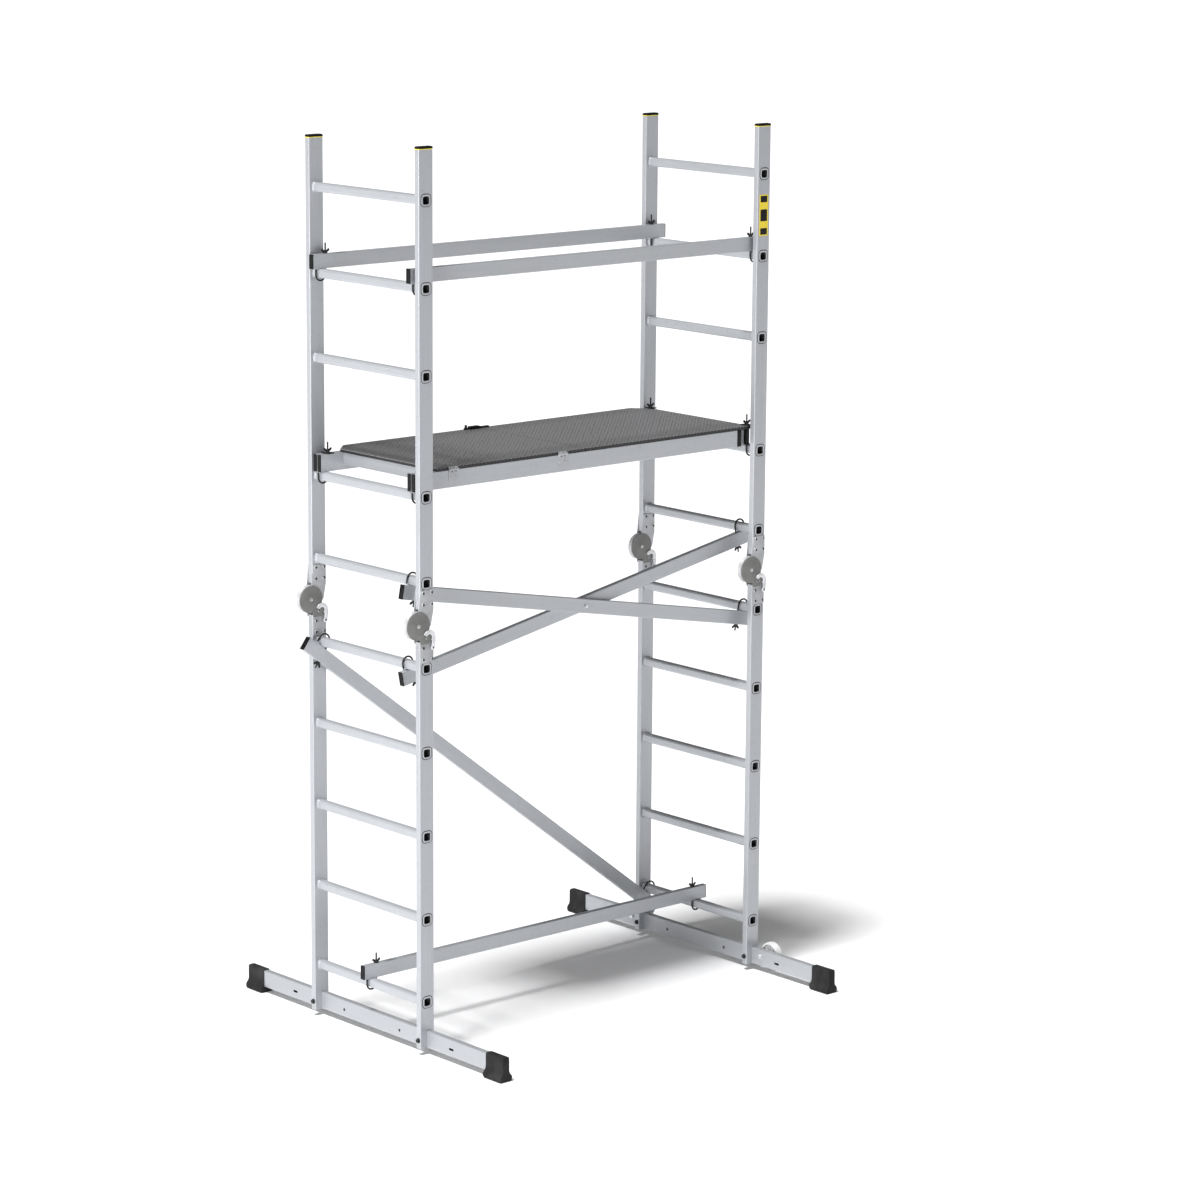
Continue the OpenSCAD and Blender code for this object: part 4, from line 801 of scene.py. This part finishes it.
for shell, rings, closed in (
        (axles, hexagon(16, [(1, 20), (7.6, 20), (8.6, 20.7), (11, 21.4), (11, 25.4),
                             (1, 25.4)]), False),
        (axles, turned([(1, 25.4), (9.6, 25.4), (10, 25.8), (10, 27), (5, 27), (5, 104.2),
                        (4.2, 105), (1, 105)], "x", 32), False),
        (sleeves, turned([(5.2, 49), (8.6, 49), (9, 49.4), (9, 66.6), (8.6, 67), (5.2, 67)],
                         "x", 36), True),
        (axle_nuts, hexagon(16, [(5.1, 95.6), (11, 95.6), (11, 100.6), (8.6, 101.3),
                                 (7.6, 102), (5.1, 102)]), True),
        (axle_nuts, turned([(5.1, 94), (9.6, 94), (10, 94.4), (10, 95.4), (9.8, 95.6),
                            (5.1, 95.6)], "x", 36), True)):
    rings = rings + (ladder_step, wheel_y, wheel_z)
    shell.rows(rings, loop=closed)
    shell.rows(far_side(rings), loop=closed)
axles.piece("axle_bolts", [bright_steel], "scaffold", ["wheel_bolts"], "bright_steel")
sleeves.piece("axle_sleeves", [bright_steel], "scaffold", ["wheel_spacers"], "bright_steel")
axle_nuts.piece("axle_nuts", [bright_steel], "scaffold", ["wheel_nuts"], "bright_steel")

# ---- Braces and guard rails ----
# Rectangular aluminium tubes tie the ladders together. A black moulded plug closes each
# end, and the two crossed ones are bolted together where they meet.
rail_metal = bare_aluminium("rail_aluminium", (long_grain, fine, fine))
wear_finish(["bottom_brace", "near_guard_rail", "far_guard_rail", "near_platform_rails",
             "far_platform_rails"], rail_metal)
steep = np.arctan2(4 * rung_pitch, ladder_step)
slant = np.arctan2(rung_pitch, ladder_step)
for name, turn in (("long_diagonal", -steep), ("front_cross_brace", -slant),
                   ("rear_cross_brace", slant)):
    wear_finish([name], bare_aluminium(f"{name}_aluminium", (long_grain, fine, fine), turn))
wear_finish(["cross_bolt"], bright_steel)
brace_height, brace_thick, rod_r, rod_gap, seat = 48.0, 20.0, 3.0, 1.6, 0.3
low_rung, fold_rung = lower_rungs[0], lower_rungs[-1]
high_rung, deck_rung, guard_rung = (upper_rungs[i] for i in (0, 1, 3))
# Each brace: its left and right rungs' heights, its middle in Y, whether it hangs, its tail.
braces = [(low_rung, low_rung, ladder_width / 2, False, 56.0),
          (fold_rung, low_rung, ladder_width - 44, True, 86.0),
          (high_rung, fold_rung, 74.0, True, 56.0), (fold_rung, high_rung, 96.0, True, 56.0),
          (guard_rung, guard_rung, 42.0, False, 56.0),
          (guard_rung, guard_rung, ladder_width - 42, False, 56.0)]


def rung_reach(turn):
    """From a rung's middle to its surface, in a direction turned by the brace's slope: the
    reach of the square that joins its corners' centres, and a corner's radius."""
    return (rung_size / 2 - rung_corner) * (abs(np.sin(turn)) + abs(np.cos(turn))) + rung_corner


def rod_place(turn):
    """From a rung's middle to the middle of the rod that hooks round it."""
    return rung_reach(turn) + rod_r + rod_gap


def settled(rings, from_z, to_z, middle, hangs, span, far):
    """Rings from a brace's own frame, X along it and Z away from its rungs, to the ladders'.
    The far end is the near end's mirror image, and a hanging brace's Z points down."""
    turn = np.arctan2(from_z - to_z, ladder_step) if span else 0.0
    x = span - rings[..., 0] if far else rings[..., 0]
    z = -rings[..., 2] if hangs else rings[..., 2]
    c, s = np.cos(turn), np.sin(turn)
    start = stile_x / 2 + (0 if span or not far else ladder_step)
    return np.stack([start + x * c + z * s, middle + rings[..., 1], from_z - x * s + z * c], -1)


plug_face = [(0.3, 0), (0, -0.4), (0, -2.1), (0.3, -2.7), (0.9, -3.0), (2.6, -3.0), (3.1, -2.5),
             (3.1, -1.9)]
plugs = Shell()
for from_z, to_z, middle, hangs, tail in braces:
    turn = abs(np.arctan2(from_z - to_z, ladder_step))
    span = np.hypot(ladder_step, from_z - to_z)
    shank = rod_place(turn)
    rings = facing(box_rings(brace_thick, brace_height, 2.0, plug_face, 4), "x")
    rings = rings + (shank - tail - 0.02, 0, rung_reach(turn) + seat + brace_height / 2)
    for far in (False, True):
        plugs.rows(settled(rings, from_z, to_z, middle, hangs, span, far))
plugs.piece("brace_plugs", [black_plastic], "scaffold", ["tube_end_plugs"], "black_plastic")

# ---- Hook bolts ----
# A black steel rod bent round the rung passes through what it clamps. Its end is threaded,
# and a wing nut on a washer draws it tight by hand.
thread_length, thread_pitch, thread_depth, hook_drop = 40.0, 2.0, 0.5, 4.6
washer_thick, nut_high, under_tail, over_tail = 2.0, 9.0, 12.0, 24.0
rail_height, deck_thick, clamp_thick, twin_middle = 58.0, 10.0, 3.0, 47.5
# Each bolt: its place for settled(), the thickness it clamps and its thread past the nut.
bolts = [(from_z, to_z, middle, hangs, np.hypot(ladder_step, from_z - to_z), far,
          brace_height, under_tail if hangs else over_tail)
         for from_z, to_z, middle, hangs, _ in braces for far in (False, True)]
clamps = [(deck_rung, deck_rung, middle, False, 0.0, far,
           rail_height + clamp_thick + (deck_thick if far else 0), over_tail)
          for far in (False, True) for middle in (twin_middle, ladder_width - twin_middle)]


def hook_rod(turn, clamped, tail):
    """A round rod: down its shank, half round the rung and a little way up again. On the
    threaded length the radius falls and rises once a turn, on a helix of the given pitch."""
    shank = rod_place(turn)
    top = rung_reach(turn) + seat + clamped + washer_thick + nut_high + tail
    height = top - np.concatenate([[0, 0.25, 0.8], np.arange(1.2, thread_length, 0.5)])
    plain = np.linspace(top - thread_length, -hook_drop, 5)
    half_turn = np.linspace(0, np.pi, 19)[1:-1]
    path = np.vstack([np.column_stack([np.full_like(height, shank), height]),
                      np.column_stack([np.full_like(plain, shank), plain]),
                      np.column_stack([shank * np.cos(half_turn),
                                       -hook_drop - shank * np.sin(half_turn)]),
                      np.column_stack([np.full(5, -shank),
                                       [-hook_drop, 4.0, 10.6, 11.6, 12.0]])])
    angle = np.arange(12) * np.pi / 6
    wave = 0.5 - 0.5 * np.cos(angle[None] - 2 * np.pi * path[:, 1:] / thread_pitch)
    cut = (np.arange(len(path)) < len(height))[:, None] * thread_depth * wave
    radius = rod_r - cut
    radius[[0, -1]], radius[[1, -2]] = 1.6, np.minimum(radius[[1, -2]], 2.3)
    section = np.stack([radius * np.cos(angle), radius * np.sin(angle)], -1)
    return carried(path, section)


wing = cut_corners(np.array([(2.5, 0.9), (7.5, 1.0), (12.5, 3.4), (16.6, 7.4), (17.1, 11.4),
                             (13.6, 14.2), (10.0, 13.0), (6.6, 9.0), (2.5, 8.2)], float))
wing_blade = slab(wing, -1.5, 1.5, 1.0)
hub = turned([(3.1, 0), (5.7, 0), (6.0, 0.4), (5.9, 1.4), (5.3, 2.2), (4.8, 8.3), (4.2, 9.0),
              (3.1, 9.0)], "z", 24)
washer = turned([(3.2, 0), (7.8, 0), (8.1, 0.3), (8.1, 1.7), (7.8, 2.0), (3.2, 2.0)], "z", 32)
brace_hooks, deck_hooks, nuts, washers, plates = Shell(), Shell(), Shell(), Shell(), Shell()
for group, shell in ((bolts, brace_hooks), (clamps, deck_hooks)):
    for from_z, to_z, middle, hangs, span, far, clamped, tail in group:
        turn = abs(np.arctan2(from_z - to_z, ladder_step)) if span else 0.0
        spot = (from_z, to_z, middle, hangs, span, far)
        shank = rod_place(turn)
        face = rung_reach(turn) + seat + clamped
        shell.rows(settled(hook_rod(turn, clamped, tail), *spot))
        washers.rows(settled(washer + (shank, 0, face), *spot), loop=True)
        nuts.rows(settled(hub + (shank, 0, face + washer_thick), *spot), loop=True)
        for side in (1, -1):
            nuts.rows(settled(wing_blade * (side, 1, 1) + (shank, 0, face + washer_thick), *spot))
        if group is clamps:
            pad = box_rings(30, 37, 2.5, [(0.8, 0), (0.2, 0.2), (0, 0.8), (0, 2.2), (0.2, 2.8),
                                          (0.8, 3)])
            plates.rows(settled(pad + (shank, 0, face - clamp_thick), *spot))
brace_hooks.piece("threaded_hooks", [black_steel], "scaffold", ["brace_hook_bolts"], "black_steel")
deck_hooks.piece("platform_hooks", [black_steel], "scaffold", ["platform_hook_bolts"],
                 "black_steel")
nuts.piece("wing_nut_set", [black_steel], "scaffold", ["wing_nuts"], "black_steel")
washers.piece("washer_set", [black_steel], "scaffold", ["washers"], "black_steel")
plates.piece("clamp_pads", [black_steel], "scaffold", ["clamp_plates"], "black_steel")

# ---- Platform rails' plugs ----
# The twin tubes under the deck end in black moulded plugs. On the right they are long, and
# fill the room up to the ladder's rung.
rail_plugs = Shell()
rail_middle_z, rail_thick = deck_rung + rung_size / 2 + seat + rail_height / 2, 14
# Each plug: its tube's middle in Y and end in X, how long it is, and the way it faces.
for y, x, head, side in ((36, 6.5, 3, -1), (59, 6.5, 3, -1), (36, 1427, 20, 1),
                         (59, ladder_step, 27, 1)):
    levels = [(0.2, 0), (0, 0.3), (0, head - 0.9), (0.3, head - 0.3), (0.9, head), (2.2, head),
              (2.6, head - 0.6)]
    rings = facing(box_rings(rail_thick, rail_height, 2.0, levels, 4), "x") * (side, 1, 1)
    rings = rings + (x, y, rail_middle_z)
    rail_plugs.rows(rings)
    rail_plugs.rows(far_side(rings))
rail_plugs.piece("platform_rail_plugs", [black_plastic], "scaffold", ["rail_end_plugs"],
                 "black_plastic")

# ---- Deck and hatch ----
# Plywood boards with a black phenolic film, pressed with a wire mesh so that shoes grip.
# Their sawn edges are sealed with black paint. The left board is a hatch on two hinges.
deck_top_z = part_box("deck_panel")[1][2]
board, board_tree, board_shader = finish("deck_film", (0.03, 0.03, 0.03), 0.5)
board_place = object_place(board_tree)
board_wear = place_group(board_tree, marks, board_place, Smudge_size=7.0, Scuff_size=90.0)
cells = board_tree.nodes.new("ShaderNodeTexVoronoi")
cells.feature = "DISTANCE_TO_EDGE"
cells.inputs["Scale"].default_value = 64.0
cells.inputs["Randomness"].default_value = 0.12
board_tree.links.new(board_place, cells.inputs["Vector"])
wire = board_tree.nodes.new("ShaderNodeMapRange")
wire.inputs["From Min"].default_value, wire.inputs["From Max"].default_value = 0.05, 0.20
wire.inputs["To Min"].default_value, wire.inputs["To Max"].default_value = 1.0, 0.0
board_tree.links.new(cells.outputs["Distance"], wire.inputs["Value"])
film = blend_colours(
    board_tree, wire.outputs["Result"],
    blend_colours(board_tree, between(board_tree, board_wear.outputs["Smudges"], 0, 0.6),
                  (0.008, 0.008, 0.009), (0.016, 0.016, 0.017)), (0.30, 0.30, 0.305))
board_axes = board_tree.nodes.new("ShaderNodeSeparateXYZ")
board_tree.links.new(board_place, board_axes.inputs["Vector"])
face_mask = board_tree.nodes.new("ShaderNodeMapRange")
face_mask.inputs["From Min"].default_value = deck_top_z - 0.0012
face_mask.inputs["From Max"].default_value = deck_top_z - 0.0008
board_tree.links.new(board_axes.outputs["Z"], face_mask.inputs["Value"])
tint(board_tree, board_shader, face_mask.outputs["Result"], (0.012, 0.012, 0.013), film)
board_tree.links.new(between(board_tree, board_wear.outputs["Scuffs"], 0.42, 0.65),
                     board_shader.inputs["Roughness"])
raise_bump(board_tree, board_shader, wire.outputs["Result"], 0.0006, 0.7)
wear_finish(["deck_panel", "hatch_panel"], board)
wear_finish(["latch_guide"], black_plastic)
wear_finish(["latch_bolt"], black_steel)
wear_finish(["hatch_hinge_leaves", "hatch_hinge_straps"], plate_steel)

# Six round screws hold the fixed board. A six-lobed socket is pressed into each head.
screws, screw_sides = Shell(), 36
first_screw, last_screw, screw_y = 859.0, 1324.0, 36.0
socket = 1 + 0.22 * np.cos(6 * np.arange(screw_sides) * 2 * np.pi / screw_sides)
screw = turned([(1.9, -6), (1.9, 0), (4.2, 0), (4.4, 0.3), (4.2, 0.8), (3.4, 1.15),
                (2.3, 1.25), (1.6, 1.25), (1.5, 0.5), (0.4, 0.4)], "z", screw_sides)
screw[-3:-1, :, :2] *= socket[None, :, None]
for x in np.linspace(first_screw, last_screw, 3):
    for y in (screw_y, ladder_width - screw_y):
        # Each socket's floor takes the near-black painted shade.
        screws.rows(screw + (x, y, deck_top_z * 1000 - corner[2]), [0] * 8 + [1])
screws.piece("deck_screw_set", steels_and_recess_shade, "scaffold", ["deck_screws"], "bright_steel")
